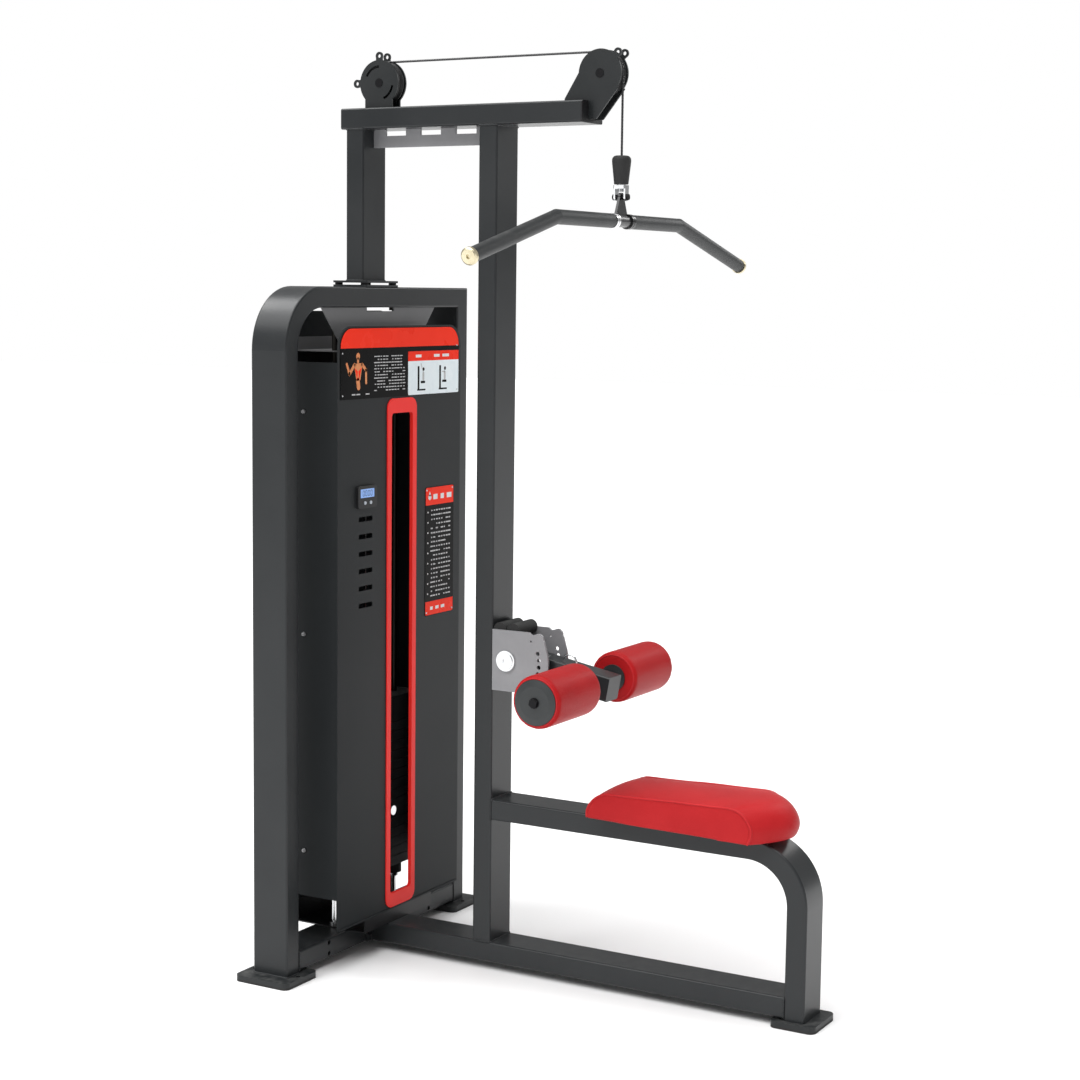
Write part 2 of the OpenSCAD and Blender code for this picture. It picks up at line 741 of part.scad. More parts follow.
// Half of the bar's line as a rod of radius r, from x0 to a length past the bend.
module bar_half(r, x0, past) {
  translate([0, 0, bar_z]) cyl_x(r, x0, bar_bend_x);
  translate([bar_bend_x, 0, bar_z]) sphere(r + 0.3);
  bar_past_bend() cylinder(h = past, r = r);
}

// Puts its children at the bend, with +Z along the drooping end.
module bar_past_bend() translate([bar_bend_x, 0, bar_z]) rotate([0, 90 + bar_droop, 0])
  children();

module lat_bar() color(bright) place() translate([0, drop_y, 0])
  sides() bar_half(bar_r, -eps, bar_end);

module bar_grips() color(rubber) place() translate([0, drop_y, 0]) sides() difference() {
  bar_half(grip_r, grip_x, bar_end);
  bar_half(bar_r + 0.05, grip_x - 1, bar_end + 1);
}

module bar_collars() color(dark) place() at_drop(bar_z) sides() difference() {
  union() {
    cyl_x(bar_r + 7, sleeve_half + 0.5, sleeve_half + 0.5 + collar_w/2 - 1);
    cyl_x(bar_r + 5, sleeve_half + 0.5, grip_x);
    cyl_x(bar_r + 7, sleeve_half + 1.5 + collar_w/2, grip_x);
  }
  cyl_x(bar_r + run_fit, sleeve_half, grip_x + 1);
}

module bar_end_caps() color(bright) place() translate([0, drop_y, 0]) sides()
  bar_past_bend() translate([0, 0, bar_end]) difference() {
    union() {
      cylinder(h = 7, r = grip_r + 2.5);
      translate([0, 0, 7]) cylinder(h = 3, r1 = grip_r + 2.5, r2 = grip_r - 1);
    }
    translate([0, 0, 6]) cylinder(h = 5, r = 5);
  }

// ---- thigh support ---------------------------------------------------------
module adj_spots() for (i = [-2 : 1]) {
  a = adj_at + i*adj_step;
  translate(adj_r*[-cos(a), sin(a)]) children();
}

module cheek_plates() color(plate_grey) place() at_yz(pivot_y, pivot_z)
  for (x = [-tube_a/2, cheek_in]) slab_yz(x, x + cheek_t) difference() {
    union() {
      intersection() {
        circle(cheek_r);
        translate([-cheek_r - 1, -cheek_h]) square([cheek_r + 1 + pivot_out, cheek_h + 28]);
      }
      translate([0, -cheek_h]) square([pivot_out, 2*cheek_h]);
      polygon([[0, 0], [0, cheek_h], [-62, cheek_h], [-70, cheek_h - 6], [-88, cheek_h - 1],
        [2 - adj_r, cheek_h - 1], [-cheek_r + 12, cheek_h - 18], [-cheek_r + 4, 28]]);
      translate([2 - adj_r, cheek_h - 14]) circle(13);
    }
    circle(pivot_r + run_fit);
    adj_spots() circle(lock_r + 0.25);
    translate(86*[-cos(38), sin(38)]) circle(2.5);
  }

module pivot_bolt() color(bright) place() at_yz(pivot_y, pivot_z) {
  cyl_x(pivot_r, -tube_a/2, tube_a/2);
  sides() difference() {
    union() {
      cyl_x(25, tube_a/2, tube_a/2 + 5);
      cyl_x(20, tube_a/2 + 4, tube_a/2 + 7);
    }
    translate([tube_a/2 + 3, 0, 0]) rotate([0, 90, 0]) cylinder(h = 5, r = 7, $fn = 6);
  }
}

module arm_stops() color(rubber) place() at_yz(post_front, pivot_z + cheek_h)
  for (y = [17.3, 54]) translate([0, -y, 0]) cyl_x(17, -cheek_in, cheek_in);

// The arm's own frame: pivot at the origin, the arm runs along -Y.
module arm_frame() place() at_yz(pivot_y, pivot_z) rotate([arm_drop, 0, 0]) children();

module lock_at() translate([0, -adj_r*cos(lock_a), adj_r*sin(lock_a)]) children();

module thigh_arm() color(steel_paint) arm_frame() difference() {
  union() {
    difference() {
      rotate([90, 0, 0]) linear_extrude(arm_len) rrect(arm_s, arm_s, tube_r);
      rotate([90, 0, 0]) translate([0, 0, arm_s/2 + 4]) linear_extrude(arm_len - arm_s/2 - 4 - tube_wall)
        rrect(arm_s - 2*tube_wall, arm_s - 2*tube_wall, 2);
    }
    cyl_x(arm_s/2, -cheek_in + 0.5, cheek_in - 0.5);
    lock_at() cyl_x(lock_r + 4, -arm_s/2, 0);
  }
  cyl_x(pivot_r + run_fit, -tube_a, tube_a);
  lock_at() cyl_x(lock_r + run_fit, -arm_s, arm_s);
  translate([0, -roller_at, 0]) cyl_x(shaft_r + run_fit, -arm_s, arm_s);
}

module arm_bail() color(bright) arm_frame() translate([0, -143, arm_s/2])
  rotate([90, 0, 90]) rotate_extrude(angle = 180) translate([18, 0]) circle(2.5);

module lock_plunger() color(bright) arm_frame() lock_at() {
  cyl_x(lock_r, -cheek_in + 0.4, 20);
  cyl_x(lock_r + 3, -arm_s/2 - 4.4, -arm_s/2 - 0.4);
}

module roller_shaft() color(bright) arm_frame() translate([0, -roller_at, 0]) {
  out = roller_in + roller_len + 6.4;
  cyl_x(shaft_r, -out, out);
  sides() {
    cyl_x(shaft_r + 3, arm_s/2, roller_in - 4.4);
    hex_x(11, out, out + 7);
  }
}

module roller_core() difference() {
  union() {
    cyl_x(core_r, roller_in - 4, roller_in + roller_len + 1);
    cyl_x(32, roller_in - 4, roller_in);
    cyl_x(roller_r - 11, roller_in + roller_len, roller_in + roller_len + 2);
    translate([roller_in + roller_len + 2, 0, 0]) rotate([0, 90, 0])
      cylinder(h = 4, r1 = roller_r - 11, r2 = roller_r - 26);
  }
  cyl_x(shaft_r + run_fit, 0, roller_in + roller_len + 10);
}

module roller() difference() {
  union() {
    cyl_x(roller_r, roller_in + 5, roller_in + roller_len - 5);
    for (x = [roller_in + 5, roller_in + roller_len - 5]) translate([x, 0, 0])
      rotate([0, 90, 0]) rotate_extrude() {
        translate([roller_r - 5, 0]) intersection() {
          circle(5);
          translate([0, -5]) square([5, 10]);
        }
        translate([0, -5]) square([roller_r - 5, 10]);
      }
  }
  cyl_x(core_r + soft_gap, 0, roller_in + roller_len + 10);
}

module on_shaft() arm_frame() translate([0, -roller_at, 0]) children();

module left_roller_core() color(dark) on_shaft() mirror([1, 0, 0]) roller_core();

module right_roller_core() color(dark) on_shaft() roller_core();

module left_roller() color(pad_red) on_shaft() mirror([1, 0, 0]) roller();

module right_roller() color(pad_red) on_shaft() roller();

// ---- weight stack ----------------------------------------------------------
module guide_rods() color(bright) place() for (s = [-1, 1]) translate([s*rod_x, 0, 0]) {
  z0 = beam_z + tube_b + strap_t;
  translate([0, 0, z0]) cylinder(h = beam_under - z0, r = rod_r);
  translate([0, 0, z0]) cylinder(h = 8, r = rod_r + 7);
  translate([0, 0, stack_z - bumper_t - 10]) cylinder(h = 10, r = rod_r + 6);
  translate([0, 0, beam_under - 8]) cylinder(h = 8, r = rod_r + 7);
}

module stack_bumpers() color(rubber) place() for (s = [-1, 1])
  translate([s*rod_x, 0, stack_z - bumper_t]) difference() {
    cylinder(h = bumper_t, r = rod_r + 14);
    translate([0, 0, -1]) cylinder(h = bumper_t + 2, r = rod_r + 0.3);
  }

module weight_plan() difference() {
  rrect(weight_w, weight_d, 8);
  for (s = [-1, 1]) translate([s*rod_x, 0]) circle(rod_r + plate_fit);
  circle(stem_r + plate_fit);
}

// n plates, with a shallow groove round each joint.
module weights(n, z0) difference() {
  slab_xy(z0, z0 + n*weight_t) weight_plan();
  for (i = [1 : n - 1]) slab_xy(z0 + i*weight_t - 0.8, z0 + i*weight_t + 0.8) difference() {
    square([weight_w + 10, weight_d + 10], center = true);
    rrect(weight_w - 4, weight_d - 4, 6);
  }
  for (i = [0 : n - 1]) translate([0, 0, z0 + (i + 0.5)*weight_t])
    cyl_y(pin_r + 0.4, -weight_d, 0);
}

module fixed_weights() color(dark) place() weights(plates_below, stack_z);

module lifted_weights() color(dark) place() weights(plates_up, lift_z);

module head_plate() color(dark) place() difference() {
  slab_xy(head_z, head_top) rrect(weight_w, weight_d, 8);
  for (s = [-1, 1]) translate([s*rod_x, 0, head_z - 1])
    cylinder(h = head_t + 2, r = rod_r + slide_fit);
  translate([0, 0, head_z - 1]) cylinder(h = head_t + 2, r = stem_r + run_fit);
}

module selector_stem() color(bright) place() difference() {
  union() {
    translate([0, 0, stack_z + 5]) cylinder(h = anchor_top - stack_z - 5, r = stem_r);
    translate([0, 0, head_top]) cylinder(h = 12, r = stem_r + 8, $fn = 6);
  }
  for (i = [0 : plates_below + plates_up - 1])
    translate([0, 0, i < plates_below ? stack_z + (i + 0.5)*weight_t
      : lift_z + (i - plates_below + 0.5)*weight_t])
      cyl_y(pin_r + 0.3, -stem_r - 1, stem_r + 1);
}

module selector_pin() color(bright) place() translate([0, 0, pin_z]) {
  cyl_y(pin_r, -weight_d/2 - 1, stem_r + plate_fit/2);
  cyl_y(pin_r + 3, -weight_d/2 - 12, -weight_d/2 - 0.4);
  cyl_y(12, -weight_d/2 - 40, -weight_d/2 - 12);
}

// ---- shrouds ---------------------------------------------------------------
module shroud_face(w, z1) {
  translate([-w, shroud_z0]) square([2*w, z1 - shroud_r - shroud_z0]);
  translate([-w + shroud_r, shroud_z0]) square([2*(w - shroud_r), z1 - shroud_z0]);
  for (s = [-1, 1]) translate([s*(w - shroud_r), z1 - shroud_r]) circle(shroud_r);
}

module window_2d(extra, r) {
  z0 = window_z0 - extra;
  z1 = window_z1 + extra;
  translate([0, (z0 + z1)/2]) rrect(2*(window_x + extra), z1 - z0, r);
}

module shroud_sides(x, y0, y1) for (s = [-1, 1])
  box(min(s*x, s*(x - sheet)), max(s*x, s*(x - sheet)), y0, y1,
    shroud_z0 + side_up, shroud_top - side_down);

module front_shroud() color(shell_grey) place() {
  slab_xz(-shroud_y, -shroud_y + sheet) difference() {
    shroud_face(shroud_x, shroud_top);
    window_2d(3, 13);
    for (i = [0 : vents - 1]) translate([counter_x, vent_z1 - i*vent_pitch])
      rrect(vent_w, vent_h, 3);
  }
  box(-shroud_x + 4, shroud_x - 4, -shroud_y - 2.5, -shroud_y, shroud_z0, shroud_z0 + 4);
  shroud_sides(shroud_x, -shroud_y, -0.5);
}

module rear_shroud() color(shell_grey) place() {
  inner = shroud_x - sheet - 0.2;
  slab_xz(shroud_y - sheet, shroud_y) shroud_face(inner, rear_top);
  shroud_sides(inner, -14, shroud_y);
}

module window_trim() color(trim_red) place() {
  slab_xz(-shroud_y - 3, -shroud_y) difference() {
    translate([0, (trim_z0 + trim_z1)/2]) rrect(2*(window_x + trim_w), trim_z1 - trim_z0, 25);
    window_2d(0, 10);
  }
  slab_xz(-shroud_y - eps, -shroud_y + sheet + 4) difference() {
    window_2d(2.7, 12.7);
    window_2d(0, 10);
  }
}

module placards() color(dark) place() slab_xz(-shroud_y - placard_t, -shroud_y) {
  w = shroud_x - 10;
  r = shroud_r - 5;
  translate([-w, header_z0]) square([2*w, header_h - r]);
  translate([-w + r, header_z0]) square([2*(w - r), header_h]);
  for (s = [-1, 1]) translate([s*(w - r), header_top - r]) circle(r);
  translate([176, 993]) rrect(133, 328, 6);
}

module counter_at() translate([counter_x, 0, counter_z]) children();

module button_at(s) translate([s*12, 0, -14]) children();

module counter_housing() color(dark) place() counter_at() difference() {
  slab_xz(-shroud_y - counter_t, -shroud_y) rrect(counter_w, counter_h, 7);
  slab_xz(-shroud_y - counter_t - 1, -shroud_y - counter_t + 1)
    translate([0, 9]) rrect(60, 23, 2);
  for (s = [-1, 1]) button_at(s)
    cyl_y(button_r + button_fit, -shroud_y - counter_t - 1, -shroud_y - 1);
}

module counter_button(s) place() counter_at() button_at(s)
  cyl_y(button_r, -shroud_y - counter_t - 2, -shroud_y - 2.5);

module counter_button_left() color(bright) counter_button(-1);

module counter_button_right() color(bright) counter_button(1);

module strap_holes(z) {
  for (s = [-1, 1]) translate([s*rod_x, 0, z - 1]) cylinder(h = strap_t + 2, r = rod_r + 0.5);
  cable_hole(z - 1, z + strap_t + 1);
}

module strap(z, up) {
  y1 = shroud_y - sheet;
  difference() {
    box(-shelf_x, shelf_x, -y1, y1, z, z + strap_t);
    strap_holes(z);
  }
  for (y = [-y1, y1 - strap_t]) box(-shelf_x, shelf_x, y, y + strap_t, z, z + up);
}

module shroud_brackets() color(dark) place() {
  strap(beam_z + tube_b, shroud_z0 - beam_z - tube_b + 20);
  strap(shelf_z, 34);
  slab_xz(-43, -40) difference() {
    polygon([[-shelf_x, shelf_z], [shelf_x, shelf_z], [gusset_x, beam_under],
      [-gusset_x, beam_under]]);
    translate([-60, beam_under - 9]) square([120, 10]);
  }
}

left_upright();
top_beam();
right_upright();
cross_beam();
foot_plates();
foot_pads();
joint_flanges();
frame_bolts();
rear_post();
boom();
boom_caps();
main_post();
base_beam();
seat_frame();
seat_board();
seat_pad();
hanger_rail();
rear_pulley_bracket();
front_pulley_bracket();
pulley_axles();
cable_top_run();
cheek_plates();
pivot_bolt();
arm_stops();
shroud_brackets();
front_shroud();
rear_shroud();
window_trim();
placards();
counter_housing();
counter_button_left();
counter_button_right();
guide_rods();
stack_bumpers();
fixed_weights();
lifted_weights();
head_plate();
selector_stem();
selector_pin();
cable_stack_run();
rear_pulley();
front_pulley();
cable_front_run();
cable_stopper();
swivel_stud();
shackle();
shackle_pin();
bar_hanger();
lat_bar();
bar_grips();
bar_collars();
bar_end_caps();
thigh_arm();
arm_bail();
lock_plunger();
roller_shaft();
left_roller_core();
right_roller_core();
left_roller();
right_roller();
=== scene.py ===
# %% [markdown]
# # A lat pulldown machine, finished in Blender
#
# The rigid parts arrive from CAD as a fixed frame: steel tubes, pulleys, weights, shrouds
# and fasteners, each in its exact place. Blender adds what CAD leaves plain: paint, chrome
# and rubber on every part, sewn upholstery, twisted cable, welds, screws and printed labels.
# Work through the cells in order. Each one makes a single kind of thing.

import math

import bmesh
import bpy
from mathutils import Matrix, Vector, kdtree


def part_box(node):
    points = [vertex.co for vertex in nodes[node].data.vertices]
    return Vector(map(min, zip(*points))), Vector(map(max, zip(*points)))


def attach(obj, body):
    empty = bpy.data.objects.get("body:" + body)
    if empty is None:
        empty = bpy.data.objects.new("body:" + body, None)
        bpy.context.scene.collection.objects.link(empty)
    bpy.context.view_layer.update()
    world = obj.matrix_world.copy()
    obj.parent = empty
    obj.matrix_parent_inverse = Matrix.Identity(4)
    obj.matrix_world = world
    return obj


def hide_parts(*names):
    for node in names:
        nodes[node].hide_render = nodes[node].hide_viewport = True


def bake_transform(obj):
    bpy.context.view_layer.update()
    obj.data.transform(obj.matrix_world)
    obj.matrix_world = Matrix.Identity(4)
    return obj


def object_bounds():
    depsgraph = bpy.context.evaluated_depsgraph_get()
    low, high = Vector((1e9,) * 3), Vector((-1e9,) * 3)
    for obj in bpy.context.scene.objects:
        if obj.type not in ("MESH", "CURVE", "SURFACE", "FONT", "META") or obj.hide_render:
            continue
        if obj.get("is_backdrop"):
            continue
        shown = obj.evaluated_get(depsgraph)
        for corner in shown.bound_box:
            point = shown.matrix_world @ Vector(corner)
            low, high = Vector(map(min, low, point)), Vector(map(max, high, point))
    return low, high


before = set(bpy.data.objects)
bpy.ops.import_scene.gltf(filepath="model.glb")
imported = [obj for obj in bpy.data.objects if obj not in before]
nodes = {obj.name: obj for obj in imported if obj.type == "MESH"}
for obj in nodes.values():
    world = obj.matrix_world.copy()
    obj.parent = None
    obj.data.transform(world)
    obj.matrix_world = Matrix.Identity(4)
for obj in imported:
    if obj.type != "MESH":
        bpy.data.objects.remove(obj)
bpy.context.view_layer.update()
mm = 0.001

# %% [markdown]
# ## The camera
#
# A studio camera stands about four metres off the machine's left rear quarter, a little
# above eye level. A short telephoto lens keeps the tall tubes nearly parallel. Its
# direction is given as two angles, which are easier to read than a rotation matrix.

# %% Place the camera
CAMERA_PLACE = Vector((-4.3765, -2.4106, 1.6532))
CAMERA_AZIMUTH = math.radians(-60.42)
CAMERA_RISE = math.radians(6.70)
CAMERA_ROLL = math.radians(0.68)
CAMERA_LENS = 70.8

towards = Vector((
    math.sin(CAMERA_AZIMUTH) * math.cos(CAMERA_RISE),
    -math.cos(CAMERA_AZIMUTH) * math.cos(CAMERA_RISE),
    math.sin(CAMERA_RISE)))
level = Vector((0, 0, 1)).cross(towards).normalized()
upright = towards.cross(level)
right = level * math.cos(CAMERA_ROLL) + upright * math.sin(CAMERA_ROLL)
above = upright * math.cos(CAMERA_ROLL) - level * math.sin(CAMERA_ROLL)

camera = bpy.data.objects.new("studio_camera", bpy.data.cameras.new("studio_camera"))
bpy.context.scene.collection.objects.link(camera)
camera.data.lens = CAMERA_LENS
camera.data.sensor_width = 36
camera.data.clip_end = 100
turn = Matrix((right, above, towards)).transposed().to_4x4()
camera.matrix_world = Matrix.Translation(CAMERA_PLACE) @ turn
bpy.context.scene.camera = camera
print("camera", [round(x, 2) for x in CAMERA_PLACE], "lens", CAMERA_LENS)

# %% [markdown]
# ## Floor and light
#
# The studio is a white sweep. A very wide sun overhead lights the floor evenly to the
# horizon, so the floor and the backdrop meet without a line. The sky that lights the
# machine is dimmer than the backdrop behind it, because dark paint in a fully white room
# would look washed out. Three soft boxes draw the bright lines on the tube edges.

# %% Build the studio
FLOOR_SIZE = 60.0
FLOOR_SHADE = (0.88, 0.88, 0.88, 1)
BACKDROP = 1.0
SKY_LIGHT = 0.34
SUN_STRENGTH = 4.3
SUN_ANGLE = math.radians(75)
SUN_FROM = Vector((-1.5, 0.7, 4.0))
SOFT_BOXES = [
    # name, place, aim, width, height, watts
    ("rear_box", (-0.3, 2.6, 4.2), (-0.35, 0.58, 1.6), 1.4, 0.7, 20),
    ("right_box", (4.0, -0.9, 3.2), (0, -0.9, 0.4), 0.8, 1.6, 24),
    ("left_box", (-5.6, 2.4, 2.2), (0, 0.2, 1.1), 1.2, 3.0, 14),
]

scene = bpy.context.scene
scene.view_settings.view_transform = "Standard"
floor_mesh = bpy.data.meshes.new("studio_floor")
half_floor = FLOOR_SIZE / 2
floor_mesh.from_pydata(
    [(-half_floor, -half_floor, 0), (half_floor, -half_floor, 0),
     (half_floor, half_floor, 0), (-half_floor, half_floor, 0)], [], [(0, 1, 2, 3)])
floor = bpy.data.objects.new("studio_floor", floor_mesh)
scene.collection.objects.link(floor)
floor_paint = bpy.data.materials.new("studio_floor")
floor_paint.use_nodes = True
floor_shader = floor_paint.node_tree.nodes["Principled BSDF"]
floor_shader.inputs["Base Color"].default_value = FLOOR_SHADE
floor_shader.inputs["Roughness"].default_value = 0.9
floor_mesh.materials.append(floor_paint)
floor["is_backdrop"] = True

world = bpy.data.worlds.new("studio")
scene.world = world
world.use_nodes = True
sky = world.node_tree
backdrop = sky.nodes["Background"]
backdrop.inputs["Color"].default_value = (1, 1, 1, 1)
seen = sky.nodes.new("ShaderNodeLightPath")
level_of = sky.nodes.new("ShaderNodeMapRange")
level_of.inputs["To Min"].default_value = SKY_LIGHT
level_of.inputs["To Max"].default_value = BACKDROP
sky.links.new(seen.outputs["Is Camera Ray"], level_of.inputs["Value"])
sky.links.new(level_of.outputs["Result"], backdrop.inputs["Strength"])

sun = bpy.data.objects.new("wide_sun", bpy.data.lights.new("wide_sun", "SUN"))
sun.data.energy, sun.data.angle = SUN_STRENGTH, SUN_ANGLE
sun.rotation_euler = (-SUN_FROM).to_track_quat("-Z", "Y").to_euler()
scene.collection.objects.link(sun)
for name, place, aim, width, height, watts in SOFT_BOXES:
    lamp = bpy.data.lights.new(name, "AREA")
    lamp.shape = "RECTANGLE"
    lamp.size, lamp.size_y, lamp.energy = width, height, watts
    box = bpy.data.objects.new(name, lamp)
    box.location = place
    box.rotation_euler = (Vector(aim) - Vector(place)).to_track_quat("-Z", "Y").to_euler()
    scene.collection.objects.link(box)
print("studio: a wide sun and", len(SOFT_BOXES), "soft boxes")

# %% [markdown]
# ## Small tools for shader nodes
#
# Materials are graphs. Three helpers keep them short to write: one adds a node and fills
# or links its sockets by name, one does arithmetic, and one mixes two colours.

# %% Define the node helpers


def put(tree, kind, settings=None, **sockets):
    """Adds a node. Settings are its properties, and sockets are its inputs by name."""
    made = tree.nodes.new(kind)
    for key, value in (settings or {}).items():
        setattr(made, key, value)
    for key, value in sockets.items():
        fill(tree, made.inputs[key.replace("_", " ")], value)
    return made


def fill(tree, socket, value):
    if isinstance(value, bpy.types.NodeSocket):
        tree.links.new(value, socket)
    else:
        socket.default_value = value


def calc(tree, operation, first, second=0.0, third=0.0, clamp=False):
    made = tree.nodes.new("ShaderNodeMath")
    made.operation, made.use_clamp = operation, clamp
    for socket, value in zip(made.inputs, (first, second, third)):
        fill(tree, socket, value)
    return made.outputs[0]


def blend_colours(tree, factor, first, second):
    made = tree.nodes.new("ShaderNodeMix")
    made.data_type = "RGBA"
    for index, value in ((0, factor), (6, first), (7, second)):
        if isinstance(value, tuple) and len(value) == 3:
            value = (*value, 1)
        fill(tree, made.inputs[index], value)
    return made.outputs[2]


def ramp(tree, value, low, high, start=0.0, end=1.0):
    """Maps low..high to start..end, held at both ends."""
    made = put(tree, "ShaderNodeMapRange", Value=value)
    for key, number in (("From Min", low), ("From Max", high), ("To Min", start),
                        ("To Max", end)):
        made.inputs[key].default_value = number
    return made.outputs["Result"]


def new_group(name, inputs, outputs):
    """An empty shader group with number inputs and the given outputs."""
    tree = bpy.data.node_groups.new(name, "ShaderNodeTree")
    for label, value in inputs.items():
        socket = tree.interface.new_socket(
            label, in_out="INPUT", socket_type="NodeSocketFloat")
        socket.default_value = value
    for label in outputs:
        tree.interface.new_socket(label, in_out="OUTPUT", socket_type="NodeSocketFloat")
    return tree, tree.nodes.new("NodeGroupInput"), tree.nodes.new("NodeGroupOutput")


def use_group(tree, group, **values):
    made = tree.nodes.new("ShaderNodeGroup")
    made.node_tree = group
    for key, value in values.items():
        fill(tree, made.inputs[key.replace("_", " ")], value)
    return made


# %% [markdown]
# ## Shared surface effects
#
# Nothing in a workshop is perfectly even. Three groups are built once and reused:
# *coat skin* is the orange peel of sprayed powder with faint clouding and settled dust,
# *hide skin* is the pebbled grain of upholstery vinyl, and *draw marks* are the fine
# lines left on drawn or turned metal.

# %% Build the coat skin group
coat_skin, given, out = new_group(
    "coat skin", {"Grain": 900.0, "Cloud": 3.0, "Dust": 0.3}, ["Height", "Cloud", "Dust"])
place = coat_skin.nodes.new("ShaderNodeTexCoord")
peel = put(coat_skin, "ShaderNodeTexNoise", Vector=place.outputs["Object"],
           Scale=given.outputs["Grain"], Detail=2.0, Roughness=0.5)
cloud = put(coat_skin, "ShaderNodeTexNoise", Vector=place.outputs["Object"],
            Scale=given.outputs["Cloud"], Detail=4.0, Roughness=0.6)
speck = put(coat_skin, "ShaderNodeTexNoise", Vector=place.outputs["Object"],
            Scale=45.0, Detail=5.0, Roughness=0.7)
facing = put(coat_skin, "ShaderNodeSeparateXYZ", Vector=place.outputs["Normal"])
settled = calc(coat_skin, "MULTIPLY", ramp(coat_skin, facing.outputs["Z"], 0.7, 1.0),
               ramp(coat_skin, speck.outputs["Fac"], 0.42, 0.7))
coat_skin.links.new(peel.outputs["Fac"], out.inputs["Height"])
coat_skin.links.new(ramp(coat_skin, cloud.outputs["Fac"], 0.35, 0.65), out.inputs["Cloud"])
coat_skin.links.new(calc(coat_skin, "MULTIPLY", settled, given.outputs["Dust"]),
                    out.inputs["Dust"])

# %% Build the hide skin group
hide_skin, given, out = new_group(
    "hide skin", {"Pebble": 620.0, "Cloud": 9.0}, ["Height", "Cloud", "Crease"])
place = hide_skin.nodes.new("ShaderNodeTexCoord")
warp = put(hide_skin, "ShaderNodeTexNoise", Vector=place.outputs["Object"], Scale=240.0,
           Detail=2.0)
bent = put(hide_skin, "ShaderNodeVectorMath", {"operation": "MULTIPLY_ADD"})
fill(hide_skin, bent.inputs[0], warp.outputs["Color"])
bent.inputs[1].default_value = (0.0012, 0.0012, 0.0012)
fill(hide_skin, bent.inputs[2], place.outputs["Object"])
cells = put(hide_skin, "ShaderNodeTexVoronoi", {"feature": "DISTANCE_TO_EDGE"},
            Vector=bent.outputs["Vector"], Scale=given.outputs["Pebble"])
pebble = ramp(hide_skin, cells.outputs["Distance"], 0.0, 0.22)
cloud = put(hide_skin, "ShaderNodeTexNoise", Vector=place.outputs["Object"],
            Scale=given.outputs["Cloud"], Detail=5.0, Roughness=0.55)
hide_skin.links.new(pebble, out.inputs["Height"])
hide_skin.links.new(ramp(hide_skin, cloud.outputs["Fac"], 0.3, 0.7), out.inputs["Cloud"])
hide_skin.links.new(calc(hide_skin, "SUBTRACT", 1.0, pebble), out.inputs["Crease"])

# %% Build the draw marks group
draw_marks, given, out = new_group(
    "draw marks", {"Across": 900.0, "Along": 8.0}, ["Line", "Smear"])
place = draw_marks.nodes.new("ShaderNodeTexCoord")
stretch = put(draw_marks, "ShaderNodeCombineXYZ", X=given.outputs["Along"],
              Y=given.outputs["Across"], Z=given.outputs["Across"])
scaled = put(draw_marks, "ShaderNodeVectorMath", {"operation": "MULTIPLY"})
fill(draw_marks, scaled.inputs[0], place.outputs["Object"])
fill(draw_marks, scaled.inputs[1], stretch.outputs["Vector"])
line = put(draw_marks, "ShaderNodeTexNoise", Vector=scaled.outputs["Vector"], Scale=1.0,
           Detail=2.0)
smear = put(draw_marks, "ShaderNodeTexNoise", Vector=place.outputs["Object"], Scale=28.0,
            Detail=4.0, Roughness=0.65)
draw_marks.links.new(line.outputs["Fac"], out.inputs["Line"])
draw_marks.links.new(ramp(draw_marks, smear.outputs["Fac"], 0.35, 0.7), out.inputs["Smear"])
print("groups:", [g.name for g in bpy.data.node_groups])

# %% [markdown]
# ## Finishes
#
# Each finish is one material: a Principled shader whose colour and roughness vary a little
# through the groups above. Numbers that never change over the surface, such as the coat
# or the metal value, are typed straight into the shader's own sockets.

# %% Write the finish makers


def blank(name, roughness, metallic=0.0, coat=0.0, coat_roughness=0.1, specular=0.5):
    material = bpy.data.materials.new(name)
    material.use_nodes = True
    tree = material.node_tree
    shader = tree.nodes["Principled BSDF"]
    for key, value in (("Roughness", roughness), ("Metallic", metallic),
                       ("Coat Weight", coat), ("Coat Roughness", coat_roughness),
                       ("Specular IOR Level", specular)):
        shader.inputs[key].default_value = value
    return material, tree, shader


def bump(tree, shader, height, depth, strength=0.6):
    """Raises the surface by depth metres where height is 1."""
    made = put(tree, "ShaderNodeBump", Height=height, Strength=strength, Distance=depth)
    tree.links.new(made.outputs["Normal"], shader.inputs["Normal"])


def painted(name, colour, deeper, roughness, coat=0.0, grain=900.0, depth=0.00008,
            dust=0.25, cloud=3.0, dust_colour=(0.25, 0.25, 0.24), specular=0.5):
    """Sprayed or moulded skin: two close shades in clouds, orange peel, a little dust."""
    material, tree, shader = blank(name, roughness, coat=coat, coat_roughness=0.2,
                                   specular=specular)
    skin = use_group(tree, coat_skin, Grain=grain, Cloud=cloud, Dust=dust)
    shade = blend_colours(tree, skin.outputs["Cloud"], deeper, colour)
    dusty = blend_colours(tree, skin.outputs["Dust"], shade, dust_colour)
    tree.links.new(dusty, shader.inputs["Base Color"])
    uneven = calc(tree, "MULTIPLY_ADD", skin.outputs["Cloud"], 0.06, roughness - 0.03)
    tree.links.new(calc(tree, "MULTIPLY_ADD", skin.outputs["Dust"], 0.3, uneven, True),
                   shader.inputs["Roughness"])
    bump(tree, shader, skin.outputs["Height"], depth)
    return material


